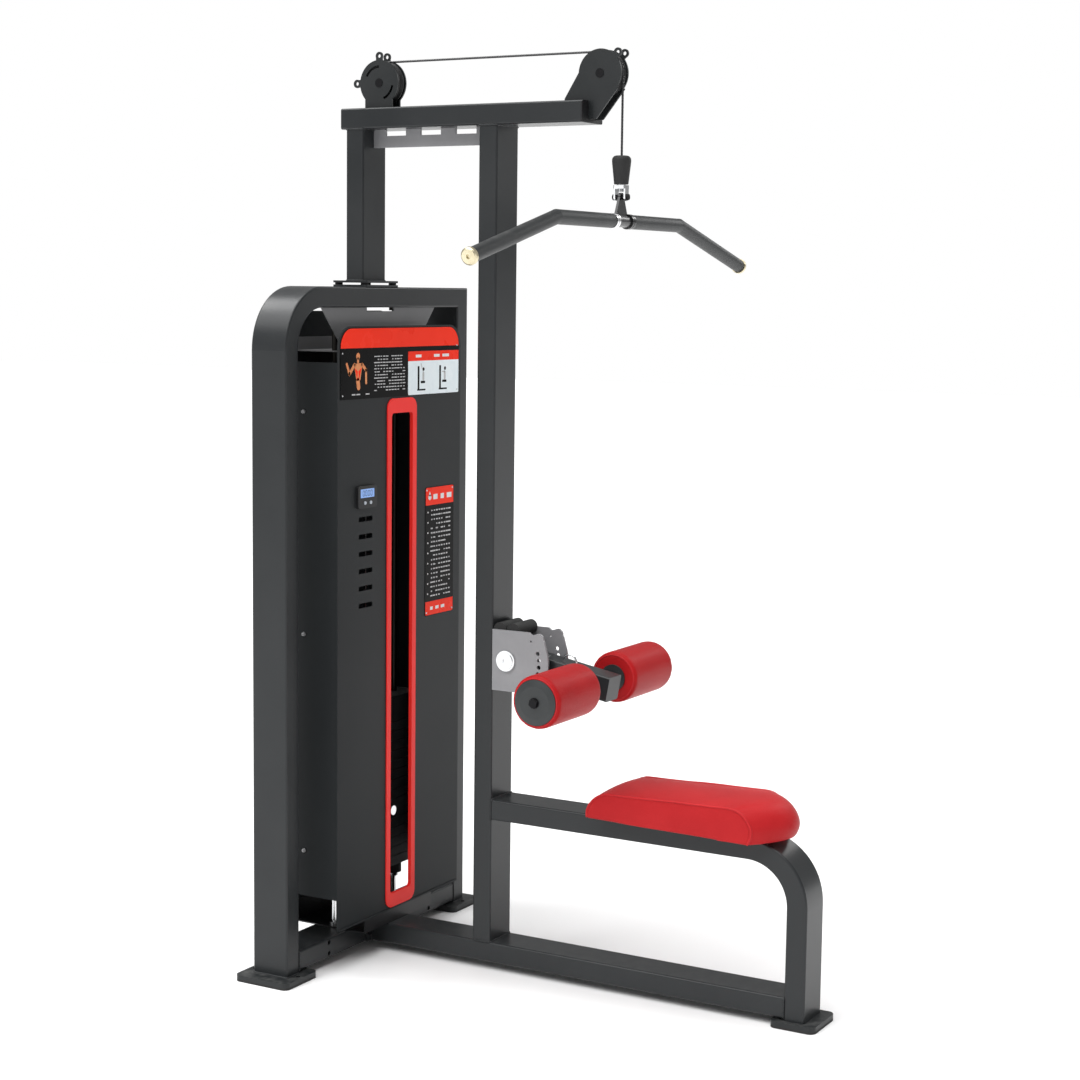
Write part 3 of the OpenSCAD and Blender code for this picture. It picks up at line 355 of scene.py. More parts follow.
def bare_metal(name, colour, deeper, roughness, across=900.0, along=8.0, depth=0.00002):
    """Plated or turned metal: draw marks move the roughness, smears dull it in places."""
    material, tree, shader = blank(name, roughness, metallic=1.0)
    marks = use_group(tree, draw_marks, Across=across, Along=along)
    tree.links.new(blend_colours(tree, marks.outputs["Smear"], colour, deeper),
                   shader.inputs["Base Color"])
    smeared = calc(tree, "MULTIPLY_ADD", marks.outputs["Smear"], 0.08, roughness)
    tree.links.new(calc(tree, "MULTIPLY_ADD", marks.outputs["Line"], 0.06, smeared, True),
                   shader.inputs["Roughness"])
    bump(tree, shader, marks.outputs["Line"], depth, 0.4)
    return material


def upholstery(name, colour, deeper, crease_shade, roughness, pebble=620.0, depth=0.00022):
    """Vinyl over foam: pebbles, painted shade in the creases between them and a soft sheen."""
    material, tree, shader = blank(name, roughness, coat=0.02, coat_roughness=0.3,
                                   specular=0.1)
    shader.inputs["Sheen Weight"].default_value = 0.02
    shader.inputs["Sheen Roughness"].default_value = 0.4
    hide = use_group(tree, hide_skin, Pebble=pebble)
    shade = blend_colours(tree, hide.outputs["Cloud"], deeper, colour)
    # Painted shade: the creases between the pebbles are darkened toward the crease colour.
    lined = blend_colours(tree, calc(tree, "MULTIPLY", hide.outputs["Crease"], 0.5),
                          shade, crease_shade)
    tree.links.new(lined, shader.inputs["Base Color"])
    tree.links.new(calc(tree, "MULTIPLY_ADD", hide.outputs["Crease"], 0.15, roughness, True),
                   shader.inputs["Roughness"])
    bump(tree, shader, hide.outputs["Height"], depth)
    return material


# %% Mix the finishes
frame_paint = painted("frame_paint", (0.022, 0.024, 0.0255), (0.017, 0.019, 0.0205), 0.32,
                      coat=0.06, specular=0.3, dust=0.08)
bracket_paint = painted("bracket_paint", (0.27, 0.27, 0.28), (0.23, 0.23, 0.24), 0.38,
                        coat=0.1, cloud=9.0)
gusset_paint = painted("gusset_paint", (0.19, 0.19, 0.195), (0.16, 0.16, 0.165), 0.4,
                       cloud=7.0)
# The gusset is grey. Below the gusset level the same part is painted black, a painted shadow
# under the shroud's foot.
GUSSET_LEVEL = 500 * mm
STRAP_PAINTED_SHADOW = (0.006, 0.006, 0.007)
tree = gusset_paint.node_tree
shader = tree.nodes["Principled BSDF"]
grey = shader.inputs["Base Color"].links[0].from_socket
whereabouts = put(tree, "ShaderNodeTexCoord")
level = put(tree, "ShaderNodeSeparateXYZ", Vector=whereabouts.outputs["Object"])
up_high = calc(tree, "GREATER_THAN", level.outputs["Z"], GUSSET_LEVEL)
tree.links.new(blend_colours(tree, up_high, STRAP_PAINTED_SHADOW, grey),
               shader.inputs["Base Color"])
black_steel = painted("black_steel", (0.008, 0.008, 0.009), (0.005, 0.005, 0.006), 0.45,
                      grain=1500.0, cloud=20.0, specular=0.15)
hood_paint = painted("hood_paint", (0.014, 0.016, 0.017), (0.010, 0.012, 0.013), 0.42,
                     cloud=8.0, specular=0.4)
hanger_paint = painted("hanger_paint", (0.014, 0.014, 0.015), (0.010, 0.010, 0.011), 0.3,
                       coat=0.2, cloud=14.0)
black_plastic = painted("black_plastic", (0.012, 0.012, 0.013), (0.008, 0.008, 0.009), 0.45,
                        grain=2200.0, depth=0.00012, cloud=12.0, specular=0.35)
dark_cap = painted("dark_cap_plastic", (0.023, 0.026, 0.027), (0.018, 0.021, 0.022), 0.42,
                   grain=1800.0, depth=0.0001, cloud=16.0)
black_rubber = painted("black_rubber", (0.014, 0.014, 0.014), (0.010, 0.010, 0.010), 0.7,
                       grain=1400.0, depth=0.0002, dust=0.5, cloud=10.0,
                       dust_colour=(0.12, 0.12, 0.115))
grip_rubber = painted("grip_rubber", (0.018, 0.020, 0.021), (0.013, 0.015, 0.016), 0.5,
                      grain=2600.0, depth=0.0003, dust=0.2, cloud=14.0)
shroud_paint = painted("shroud_paint", (0.0150, 0.0172, 0.0185), (0.0122, 0.0142, 0.0155),
                       0.5, grain=1500.0, depth=0.00022, cloud=1.6, dust=0.12,
                       specular=0.22)
trim_plastic = painted("trim_plastic", (0.95, 0.034, 0.028), (0.90, 0.028, 0.023), 0.4,
                       coat=0.03, grain=700.0, cloud=6.0, dust=0.04, specular=0.18)
button_plastic = painted("button_plastic", (0.50, 0.54, 0.60), (0.44, 0.48, 0.54), 0.4,
                         grain=3000.0, cloud=40.0, dust=0.0)
weight_iron = painted("weight_iron", (0.016, 0.016, 0.017), (0.010, 0.010, 0.011), 0.5,
                      grain=420.0, depth=0.0006, cloud=25.0, dust=0.4)
board_wood = painted("seat_board_paint", (0.020, 0.012, 0.010), (0.012, 0.008, 0.007), 0.6,
                     grain=300.0, depth=0.0003, cloud=30.0)
chrome = bare_metal("chrome", (0.80, 0.81, 0.82), (0.66, 0.67, 0.68), 0.08)
turned_steel = bare_metal("turned_steel", (0.55, 0.55, 0.56), (0.42, 0.42, 0.43), 0.24,
                          across=1600.0, depth=0.00004)
cap_brass = bare_metal("cap_brass", (0.74, 0.67, 0.48), (0.60, 0.53, 0.36), 0.3,
                       across=1400.0)
seat_vinyl = upholstery("seat_cover", (0.50, 0.020, 0.023), (0.42, 0.014, 0.017),
                        (0.30, 0.008, 0.010), 0.36)
roller_vinyl = upholstery("roller_cover", (0.46, 0.012, 0.014), (0.38, 0.008, 0.010),
                          (0.26, 0.006, 0.008), 0.34)
# The piping is a lighter red than the seat, a painted highlight along the round welt.
piping_vinyl = upholstery("piping_cover", (0.60, 0.030, 0.034), (0.50, 0.022, 0.026),
                          (0.20, 0.005, 0.006), 0.34, pebble=1100.0, depth=0.0001)
thread = upholstery("stitch_thread", (0.40, 0.020, 0.022), (0.32, 0.014, 0.016),
                    (0.18, 0.006, 0.008), 0.6, pebble=2400.0, depth=0.0001)
print("finishes:", len(bpy.data.materials))

# %% [markdown]
# ## Two-tone collars and a lamp panel
#
# The bar's left collar is bright and its right one is black, though both are one part.
# The object's own X coordinate tells the shader which side it is on. The counter's screen
# is a dim blue lamp behind clear plastic, so it gets a little emission. The guide rods
# are bright at the foot and painted dark higher up, a painted shade for the inside of the
# tower where the plates run.

# %% Mix the special finishes
collar_metal, tree, shader = blank("collar_metal", 0.22)
where = put(tree, "ShaderNodeTexCoord")
across = put(tree, "ShaderNodeSeparateXYZ", Vector=where.outputs["Object"])
on_right = calc(tree, "GREATER_THAN", across.outputs["X"], 0.0)
tree.links.new(blend_colours(tree, on_right, (0.82, 0.82, 0.83), (0.016, 0.016, 0.017)),
               shader.inputs["Base Color"])
tree.links.new(calc(tree, "SUBTRACT", 1.0, on_right), shader.inputs["Metallic"])
fine = use_group(tree, draw_marks, Across=1500.0, Along=20.0)
tree.links.new(calc(tree, "MULTIPLY_ADD", fine.outputs["Line"], 0.15, 0.12),
               shader.inputs["Roughness"])


def print_ink(name, colour, deeper, roughness=0.28):
    """Ink under clear film: an even colour with faint clouds and a weak reflection."""
    return painted(name, colour, deeper, roughness, grain=500.0, depth=0.00002,
                   dust=0.02, cloud=14.0, specular=0.07)


ink_black = print_ink("ink_black", (0.002, 0.002, 0.0022), (0.0012, 0.0012, 0.0014))
ink_red = print_ink("ink_red", (0.95, 0.040, 0.016), (0.91, 0.034, 0.013))
ink_pale = print_ink("ink_pale", (0.86, 0.93, 0.96), (0.80, 0.89, 0.93))
ink_grey = print_ink("ink_grey", (0.60, 0.60, 0.61), (0.50, 0.50, 0.51))
ink_white = print_ink("ink_white", (0.82, 0.82, 0.82), (0.76, 0.76, 0.76))
ink_tan = print_ink("ink_tan", (0.74, 0.30, 0.13), (0.64, 0.22, 0.09))
screen_blue, tree, shader = blank("screen_blue", 0.15, coat=0.6)
glow = put(tree, "ShaderNodeTexCoord")
lit = put(tree, "ShaderNodeTexNoise", Vector=glow.outputs["Object"], Scale=30.0, Detail=2.0)
backlight = blend_colours(tree, lit.outputs["Fac"], (0.10, 0.24, 0.60), (0.17, 0.34, 0.72))
tree.links.new(backlight, shader.inputs["Base Color"])
tree.links.new(backlight, shader.inputs["Emission Color"])
shader.inputs["Emission Strength"].default_value = 0.35

ROD_SHADE_FOOT, ROD_SHADE_FULL = 150 * mm, 230 * mm
rod_steel, tree, shader = blank("rod_steel", 0.2, metallic=1.0)
place = put(tree, "ShaderNodeTexCoord")
height = put(tree, "ShaderNodeSeparateXYZ", Vector=place.outputs["Object"])
# film is painted shade: the rods turn dark above the foot, where they run inside the shaded
# tower.
film = ramp(tree, height.outputs["Z"], ROD_SHADE_FOOT, ROD_SHADE_FULL)
rod_marks = use_group(tree, draw_marks, Across=1200.0, Along=10.0)
bright_rod = blend_colours(tree, rod_marks.outputs["Smear"], (0.80, 0.81, 0.82),
                           (0.66, 0.67, 0.68))
tree.links.new(blend_colours(tree, film, bright_rod, (0.035, 0.033, 0.030)),
               shader.inputs["Base Color"])
streaks = calc(tree, "MULTIPLY_ADD", rod_marks.outputs["Line"], 0.08, 0.1)
tree.links.new(calc(tree, "MULTIPLY_ADD", film, 0.3, streaks, True),
               shader.inputs["Roughness"])
print("inks, lamp and rods:", screen_blue.name, rod_steel.name)

# %% [markdown]
# ## Dress the CAD parts
#
# A CAD part keeps its mesh. Only the material in its slots is exchanged, so a table from
# finish to part names is all that is needed.

# %% Give every CAD part its finish
WARDROBE = {
    frame_paint: ("left_upright", "top_beam", "right_upright", "cross_beam",
                  "joint_flanges", "rear_post", "boom", "main_post", "base_beam",
                  "seat_frame", "thigh_arm"),
    bracket_paint: ("hanger_rail", "cheek_plates"),
    hood_paint: ("rear_pulley_bracket", "front_pulley_bracket", "foot_plates"),
    black_steel: ("frame_bolts", "pulley_axles", "roller_shaft", "shackle_pin"),
    hanger_paint: ("bar_hanger",),
    black_plastic: ("boom_caps", "rear_pulley", "front_pulley", "counter_housing"),
    dark_cap: ("left_roller_core", "right_roller_core"),
    black_rubber: ("foot_pads", "arm_stops", "stack_bumpers", "cable_stopper"),
    grip_rubber: ("bar_grips",),
    shroud_paint: ("front_shroud", "rear_shroud"),
    gusset_paint: ("shroud_brackets",),
    trim_plastic: ("window_trim",),
    ink_black: ("placards",),
    button_plastic: ("counter_button_left", "counter_button_right"),
    weight_iron: ("fixed_weights", "lifted_weights", "head_plate"),
    board_wood: ("seat_board",),
    rod_steel: ("guide_rods",),
    chrome: ("pivot_bolt", "selector_pin", "swivel_stud", "shackle",
             "lat_bar", "arm_bail", "lock_plunger"),
    cap_brass: ("bar_end_caps",),
    turned_steel: ("selector_stem",),
    collar_metal: ("bar_collars",),
}
for finish, names in WARDROBE.items():
    for name in names:
        if not nodes[name].material_slots:
            nodes[name].data.materials.append(finish)
        for held in nodes[name].material_slots:
            held.material = finish
bare = sorted(set(nodes) - {n for names in WARDROBE.values() for n in names})
print("dressed; still to be replaced:", bare)

# %% [markdown]
# ## Tools for making pieces
#
# Most added pieces start as plain points, edges or faces. `piece` wraps them in an object
# at the origin. `grown` runs a Geometry Nodes tree on such a start shape and keeps the
# result as an ordinary mesh, because the exported model has no live instances.

# %% Define the piece makers


def piece(name, points, edges=(), faces=(), finish=None, smooth=True):
    mesh = bpy.data.meshes.new(name)
    mesh.from_pydata([tuple(p) for p in points], list(edges), list(faces))
    mesh.validate()
    made = bpy.data.objects.new(name, mesh)
    bpy.context.scene.collection.objects.link(made)
    if finish:
        mesh.materials.append(finish)
    if smooth:
        mesh.shade_smooth()
    return made


def tidy_normals(made):
    """Merges doubled points and turns every face outwards."""
    work = bmesh.new()
    work.from_mesh(made.data)
    bmesh.ops.remove_doubles(work, verts=work.verts, dist=1e-6)
    bmesh.ops.recalc_face_normals(work, faces=work.faces)
    work.to_mesh(made.data)
    work.free()
    return made


def baked(made):
    """Turns what the modifiers give into the object's own mesh."""
    graph = bpy.context.evaluated_depsgraph_get()
    graph.update()
    mesh = bpy.data.meshes.new_from_object(made.evaluated_get(graph))
    made.modifiers.clear()
    old, made.data = made.data, mesh
    if old.users == 0:
        bpy.data.meshes.remove(old)
    return made


def new_tree(name, inputs):
    """A Geometry Nodes tree with one geometry in, one out, and named inputs."""
    tree = bpy.data.node_groups.new(name, "GeometryNodeTree")
    tree.interface.new_socket("Geometry", in_out="INPUT", socket_type="NodeSocketGeometry")
    for label, kind, value in inputs:
        socket = tree.interface.new_socket(label, in_out="INPUT", socket_type=kind)
        if value is not None:
            socket.default_value = value
    tree.interface.new_socket("Geometry", in_out="OUTPUT", socket_type="NodeSocketGeometry")
    return tree, tree.nodes.new("NodeGroupInput"), tree.nodes.new("NodeGroupOutput")


def grown(start, tree, **inputs):
    """Runs a tree on a start piece with the given inputs, and bakes the result."""
    modifier = start.modifiers.new(tree.name, "NODES")
    modifier.node_group = tree
    by_name = {s.name: s.identifier for s in tree.interface.items_tree
               if s.item_type == "SOCKET" and s.in_out == "INPUT"}
    for key, value in inputs.items():
        modifier[by_name[key.replace("_", " ")]] = value
    return baked(start)


def settle(made, body):
    """Puts a finished piece on its body."""
    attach(made, body)
    print(f"{made.name}: {len(made.data.polygons)} faces on {body}")
    return made


def middle(node):
    low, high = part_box(node)
    return (low + high) / 2


# %% [markdown]
# ## Steel cable
#
# The machine pulls a steel rope in a thin nylon sheath. The six strands still show
# through it as a slow twist. A Geometry Nodes tree sweeps a six-lobed ring along the
# route and turns it as it goes, which keeps the twist even on straights and bends alike.
#
# The rope is held by its pulleys all the way. It is cut into three pieces: the fixed run
# over the pulleys, and the two hanging runs.

# %% Build the rope tree
STRANDS = 6
LAY_LENGTH = 42 * mm
STRAND_RELIEF = 0.05

rope_tree, given, out = new_tree("twisted rope", [
    ("Radius", "NodeSocketFloat", 0.00275), ("Step", "NodeSocketFloat", 0.003),
    ("Relief", "NodeSocketFloat", STRAND_RELIEF), ("Lay", "NodeSocketFloat", LAY_LENGTH),
    ("Finish", "NodeSocketMaterial", None)])
route = put(rope_tree, "GeometryNodeMeshToCurve", Mesh=given.outputs["Geometry"])
even = put(rope_tree, "GeometryNodeResampleCurve", {"mode": "LENGTH"},
           Curve=route.outputs["Curve"], Length=given.outputs["Step"])
along = put(rope_tree, "GeometryNodeSplineParameter")
twist = calc(rope_tree, "DIVIDE", calc(rope_tree, "MULTIPLY", along.outputs["Length"],
                                       2 * math.pi), given.outputs["Lay"])
turned = put(rope_tree, "GeometryNodeSetCurveTilt", Curve=even.outputs["Curve"], Tilt=twist)
ring = put(rope_tree, "GeometryNodeCurvePrimitiveCircle", Resolution=STRANDS * 4,
           Radius=given.outputs["Radius"])
spot = put(rope_tree, "GeometryNodeInputIndex")
lobe = calc(rope_tree, "COSINE", calc(rope_tree, "MULTIPLY", spot.outputs["Index"],
                                      math.pi / 2))
swell = calc(rope_tree, "MULTIPLY_ADD", lobe, given.outputs["Relief"],
             calc(rope_tree, "SUBTRACT", 1.0, given.outputs["Relief"]))
at = put(rope_tree, "GeometryNodeInputPosition")
pushed = put(rope_tree, "ShaderNodeVectorMath", {"operation": "SCALE"},
             Vector=at.outputs["Position"], Scale=swell)
lobed = put(rope_tree, "GeometryNodeSetPosition", Geometry=ring.outputs["Curve"],
            Position=pushed.outputs["Vector"])
swept = put(rope_tree, "GeometryNodeCurveToMesh", {}, Curve=turned.outputs["Curve"],
            Profile_Curve=lobed.outputs["Geometry"], Fill_Caps=True)
soft = put(rope_tree, "GeometryNodeSetShadeSmooth", Geometry=swept.outputs["Mesh"])
coated = put(rope_tree, "GeometryNodeSetMaterial", Geometry=soft.outputs["Geometry"],
             Material=given.outputs["Finish"])
rope_tree.links.new(coated.outputs["Geometry"], out.inputs["Geometry"])


def swept_line(name, points, finish, radius, step=3 * mm, relief=0.0, lay=LAY_LENGTH,
               closed=False):
    """A tube along a line of points, with strand relief if it is a rope."""
    count = len(points)
    edges = [(i, i + 1) for i in range(count - 1)] + ([(count - 1, 0)] if closed else [])
    line = piece(name, points, edges)
    return grown(line, rope_tree, Radius=radius, Step=step, Relief=relief, Lay=lay,
                 Finish=finish)


# %% Run the cable
CABLE_RADIUS = 2.75 * mm
sheath = painted("cable_sheath", (0.020, 0.020, 0.022), (0.012, 0.012, 0.013), 0.3, coat=0.3,
                 grain=1200.0, cloud=60.0, depth=0.00003, dust=0.1)
rear_wheel, front_wheel = middle("rear_pulley"), middle("front_pulley")
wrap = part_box("cable_top_run")[1].z - CABLE_RADIUS - rear_wheel.z
ARC_STEPS = 24


def wheel_arc(centre, start, end):
    """Points round a pulley, from one angle to another in the YZ plane."""
    angles = [math.radians(start + (end - start) * i / ARC_STEPS)
              for i in range(ARC_STEPS + 1)]
    return [(0, centre.y + wrap * math.cos(a), centre.z + wrap * math.sin(a))
            for a in angles]


over = wheel_arc(rear_wheel, 0, 90) + wheel_arc(front_wheel, 90, 180)
top_cable = swept_line("top_cable", over, sheath, CABLE_RADIUS, relief=STRAND_RELIEF)
settle(top_cable, "frame")
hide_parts("cable_top_run")

stack_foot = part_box("cable_stack_run")[0].z
drop_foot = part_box("cable_front_run")[0].z
stack_y, drop_y = rear_wheel.y + wrap, front_wheel.y - wrap
for name, y, foot, wheel, body, node in (
        ("stack_cable", stack_y, stack_foot, rear_wheel, "stack", "cable_stack_run"),
        ("front_cable", drop_y, drop_foot, front_wheel, "cable_end", "cable_front_run")):
    hung = swept_line(name, [(0, y, wheel.z), (0, y, foot)], sheath, CABLE_RADIUS,
                      relief=STRAND_RELIEF)
    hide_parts(node)
    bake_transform(hung)
    print(name, round(wheel.z - foot, 3), "m,", len(hung.data.polygons), "faces")

# %% [markdown]
# ## Sewn pads
#
# A pad is foam in a tight vinyl cover. Air pressure in a cloth simulation swells a stiff
# shell the way foam fills a cover: the seams hold still and the panels between them bow
# out. The shell is voxel-remeshed first, so that the cloth has even, square cells. The
# swelling is capped, and one subdivision then smooths the result.

# %% Define the stuffing tools
VOXEL = 5 * mm
CLOTH_FRAMES = 20
CLOTH_QUALITY, CLOTH_MASS = 5, 0.3
CLOTH_STIFFNESS, CLOTH_BENDING = 15, 2.0
PRESSURE = 4.0


def remeshed(made, size=VOXEL):
    modifier = made.modifiers.new("even cells", "REMESH")
    modifier.mode, modifier.voxel_size = "VOXEL", size
    return baked(made)


def relaxed(made, rounds, strength=0.5):
    modifier = made.modifiers.new("relax", "SMOOTH")
    modifier.iterations, modifier.factor = rounds, strength
    return baked(made)


def stuffed(made, held, cap, pressure=PRESSURE):
    """Swells a closed shell. held(point) says which points the seams and board keep."""
    start = [v.co.copy() for v in made.data.vertices]
    fixed = [i for i, co in enumerate(start) if held(co)]
    pins = made.vertex_groups.new(name="held")
    pins.add(fixed, 1.0, "REPLACE")
    cloth = made.modifiers.new("stuffing", "CLOTH")
    rules = cloth.settings
    rules.quality, rules.mass = CLOTH_QUALITY, CLOTH_MASS
    rules.use_pressure, rules.uniform_pressure_force = True, pressure
    rules.tension_stiffness = rules.compression_stiffness = CLOTH_STIFFNESS
    rules.bending_stiffness = CLOTH_BENDING
    rules.effector_weights.gravity = 0
    rules.vertex_group_mass = "held"
    cloth.point_cache.frame_start, cloth.point_cache.frame_end = 1, CLOTH_FRAMES
    for number in range(1, CLOTH_FRAMES + 1):
        scene.frame_set(number)
    graph = bpy.context.evaluated_depsgraph_get()
    moved = [v.co.copy() for v in made.evaluated_get(graph).data.vertices]
    made.modifiers.remove(cloth)
    scene.frame_set(1)
    far = 0.0
    for vertex, before, after in zip(made.data.vertices, start, moved):
        step = after - before
        far = max(far, step.length)
        if step.length > cap:
            step *= cap / step.length
        vertex.co = before + step
    made.vertex_groups.remove(pins)
    print(f"{made.name}: {len(fixed)} held of {len(start)}, swelled {far / mm:.1f} mm,"
              f" capped at {cap / mm:.0f}")
    return made


def smoothed(made):
    """One subdivision, baked."""
    modifier = made.modifiers.new("smooth", "SUBSURF")
    modifier.levels = modifier.render_levels = 1
    baked(made)
    made.data.shade_smooth()
    return made


# %% [markdown]
# ## The seat
#
# The seat pad is a loaf. Two flat, D-shaped side panels are joined by one long strip that
# climbs the rear, runs forward and rolls down over a bulged nose. The strip is a grid of
# points: one way follows the side outline, and the other way runs across the seat, where
# the nose pushes forward and the top rises a little.

# %% Shape the seat shell
seat_low, seat_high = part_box("seat_pad")
SEAT_HALF = seat_high.x - 1.5 * mm
SEAT_NOSE = 66 * mm
SEAT_REAR_BULGE = 4 * mm
SEAT_FRONT_RADIUS = 62 * mm
SEAT_REAR_RADIUS = 60 * mm
SEAT_CROWN = 7 * mm
SEAT_TUCK = 12 * mm
REAR_TOP = seat_high.z - 16 * mm
FRONT_TOP = seat_high.z - 8 * mm
BOARD_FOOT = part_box("seat_board")[0].z + 0.5 * mm
REAR_SKIRT = 6 * mm
FRONT_SKIRT = -3 * mm
SEAT_SWELL = 7 * mm
SEAM_REACH = 4.5 * mm
HELD_BELOW = seat_low.z - 6 * mm
seat_back = seat_high.y - SEAT_REAR_BULGE + 3 * mm
seat_front = seat_low.y + SEAT_NOSE + 2 * mm


def arc(centre_y, centre_z, radius, start, end, steps=12):
    return [(centre_y + radius * math.cos(math.radians(start + (end - start) * i / steps)),
             centre_z + radius * math.sin(math.radians(start + (end - start) * i / steps)))
            for i in range(steps + 1)]


def seat_outline():
    """The side panel's edge in the YZ plane, from the rear foot over to the front foot."""
    rear = arc(seat_back - SEAT_REAR_RADIUS, REAR_TOP - SEAT_REAR_RADIUS,
               SEAT_REAR_RADIUS, 0, 90)
    front = arc(seat_front + SEAT_FRONT_RADIUS, FRONT_TOP - SEAT_FRONT_RADIUS,
                SEAT_FRONT_RADIUS, 90, 180)
    (y0, z0), (y1, z1) = rear[-1], front[0]
    top = [(y0 + (y1 - y0) * i / 16, z0 + (z1 - z0) * i / 16) for i in range(1, 16)]
    return [(seat_back, BOARD_FOOT)] + rear + top + front + [(seat_front, BOARD_FOOT)]


def eased(value):
    value = min(1.0, max(0.0, value))
    return value * value * (3 - 2 * value)


def across_seat(y, z, u):
    """Moves an outline point to its place u of the way from the middle to a side."""
    swell = 1 - u * u
    share = (seat_back - y) / (seat_back - seat_front)
    nose, tail = eased((share - 0.55) / 0.45), eased(1 - share / 0.3)
    rise = (z - BOARD_FOOT) / (FRONT_TOP - BOARD_FOOT)
    skirt = (REAR_SKIRT + (FRONT_SKIRT - REAR_SKIRT) * eased(share * 1.4)) * u * u
    return Vector((
        u * SEAT_HALF,
        y - SEAT_NOSE * nose * swell + SEAT_REAR_BULGE * tail * swell
        + SEAT_TUCK * nose * max(0.0, 1 - rise * 2) ** 2,
        z + SEAT_CROWN * swell * rise ** 2 + skirt * max(0.0, 1 - rise * 2)))


SEAT_COLUMNS = 24
outline = seat_outline()
count = len(outline)
points, faces = [], []
for i in range(SEAT_COLUMNS + 1):
    u = -1 + 2 * i / SEAT_COLUMNS
    points += [across_seat(y, z, u) for y, z in outline]
for i in range(SEAT_COLUMNS):
    for j in range(count):
        k = (j + 1) % count
        faces.append((i * count + j, (i + 1) * count + j, (i + 1) * count + k,
                      i * count + k))
faces += [tuple(range(count)), tuple(SEAT_COLUMNS * count + j for j in range(count))]
seat = tidy_normals(piece("seat_cushion", points, faces=faces, finish=seat_vinyl))

# %% Stuff the seat
seams = {side: [across_seat(y, z, side) for y, z in outline] for side in (-1, 1)}
SEAM_SPLITS = 4
seam_tree = kdtree.KDTree(2 * count * SEAM_SPLITS)
entry = 0
for line in seams.values():
    for a, b in zip(line, line[1:] + line[:1]):
        for step in range(SEAM_SPLITS):
            seam_tree.insert(a.lerp(b, step / SEAM_SPLITS), entry)
            entry += 1
seam_tree.balance()


def on_seat_seam(co):
    return co.z < HELD_BELOW or seam_tree.find(co)[2] < SEAM_REACH


remeshed(seat)
relaxed(seat, 2)
stuffed(seat, on_seat_seam, cap=SEAT_SWELL)
smoothed(seat)
settle(seat, "frame")
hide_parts("seat_pad")

# %% [markdown]
# ## Piping and stitches
#
# Welt piping is a thin vinyl tube sewn into the seam. It follows the side panel's edge, so
# the rope tree sweeps it with no strand relief. Beside it runs a row of stitches. They are
# hundreds of equal dashes along a path, which is what instances on points are for.

# %% Build the stitch tree
stitch_tree, given, out = new_tree("stitch row", [
    ("Pitch", "NodeSocketFloat", 0.005), ("Length", "NodeSocketFloat", 0.0034),
    ("Thickness", "NodeSocketFloat", 0.0005), ("Finish", "NodeSocketMaterial", None)])
route = put(stitch_tree, "GeometryNodeMeshToCurve", Mesh=given.outputs["Geometry"])
spaced = put(stitch_tree, "GeometryNodeCurveToPoints", {"mode": "LENGTH"},
             Curve=route.outputs["Curve"], Length=given.outputs["Pitch"])
dash = put(stitch_tree, "GeometryNodeMeshUVSphere", Segments=6, Rings=5, Radius=1.0)
half = calc(stitch_tree, "MULTIPLY", given.outputs["Length"], 0.5)
size = put(stitch_tree, "ShaderNodeCombineXYZ", X=given.outputs["Thickness"],
           Y=given.outputs["Thickness"], Z=half)
sewn = put(stitch_tree, "GeometryNodeInstanceOnPoints", Points=spaced.outputs["Points"],
           Instance=dash.outputs["Mesh"], Rotation=spaced.outputs["Rotation"],
           Scale=size.outputs["Vector"])
real = put(stitch_tree, "GeometryNodeRealizeInstances", Geometry=sewn.outputs["Instances"])
soft = put(stitch_tree, "GeometryNodeSetShadeSmooth", Geometry=real.outputs["Geometry"])
coated = put(stitch_tree, "GeometryNodeSetMaterial", Geometry=soft.outputs["Geometry"],
             Material=given.outputs["Finish"])
stitch_tree.links.new(coated.outputs["Geometry"], out.inputs["Geometry"])


def joined(name, parts):
    """Joins baked meshes into one piece."""
    work = bmesh.new()
    for part in parts:
        work.from_mesh(part.data)
    keep, rest = parts[0], parts[1:]
    work.to_mesh(keep.data)
    work.free()
    for part in rest:
        bpy.data.objects.remove(part)
    keep.name = keep.data.name = name
    return keep


def on_surface(target, points, lift):
    """Drops points onto a finished mesh and lifts them off it by a little."""
    found = []
    for point in points:
        hit, co, normal = target.closest_point_on_mesh(point)[:3]
        found.append(co + normal * lift if hit else point)
    return found


# %% Sew the seat
PIPING_RADIUS = 2.6 * mm
STITCH_OFFSET = 7 * mm
STITCH_PITCH, STITCH_LENGTH = 5.5 * mm, 3.6 * mm
piping_parts, stitch_parts = [], []
seat_mid = Vector((0, (seat_back + seat_front) / 2, seat_low.z + 10 * mm))
for side, line in seams.items():
    edge = on_surface(seat, line, 0.4 * mm)
    piping_parts.append(swept_line(f"welt_{side}", edge, piping_vinyl, PIPING_RADIUS,
                                   step=4 * mm))
    inner = [Vector((side * SEAT_HALF, *(p + (seat_mid - p).normalized() * STITCH_OFFSET).yz))
             for p in line]
    row = piece(f"row_{side}", on_surface(seat, inner, 0.1 * mm),
                [(i, i + 1) for i in range(count - 1)])
    stitch_parts.append(grown(row, stitch_tree, Pitch=STITCH_PITCH, Length=STITCH_LENGTH,
                              Thickness=0.45 * mm, Finish=thread))
settle(joined("seat_piping", piping_parts), "frame")
settle(joined("seat_stitches", stitch_parts), "frame")

# %% [markdown]
# ## The thigh rollers
#
# Each roller is a foam tube in a sewn vinyl sleeve on a plastic core. Its outline is
# turned about the shaft like clay on a wheel. The ends are held by the core, and the
# sleeve between them swells slightly, so the tube is a little fuller in the middle.

# %% Turn and stuff the rollers
ROLLER_EDGE = 9 * mm
ROLLER_PLAY = 1.6 * mm
ROLLER_SEGMENTS = 72
ROLLER_HELD = 3 * mm
ROLLER_SWELL = 2.2 * mm
WELT_IN, WELT_DROP, WELT_RADIUS = 1.2 * mm, 7.5 * mm, 1.8 * mm
SEAM_INSET, SEAM_ANGLE, SEAM_STEPS = 8 * mm, 0.5, 40


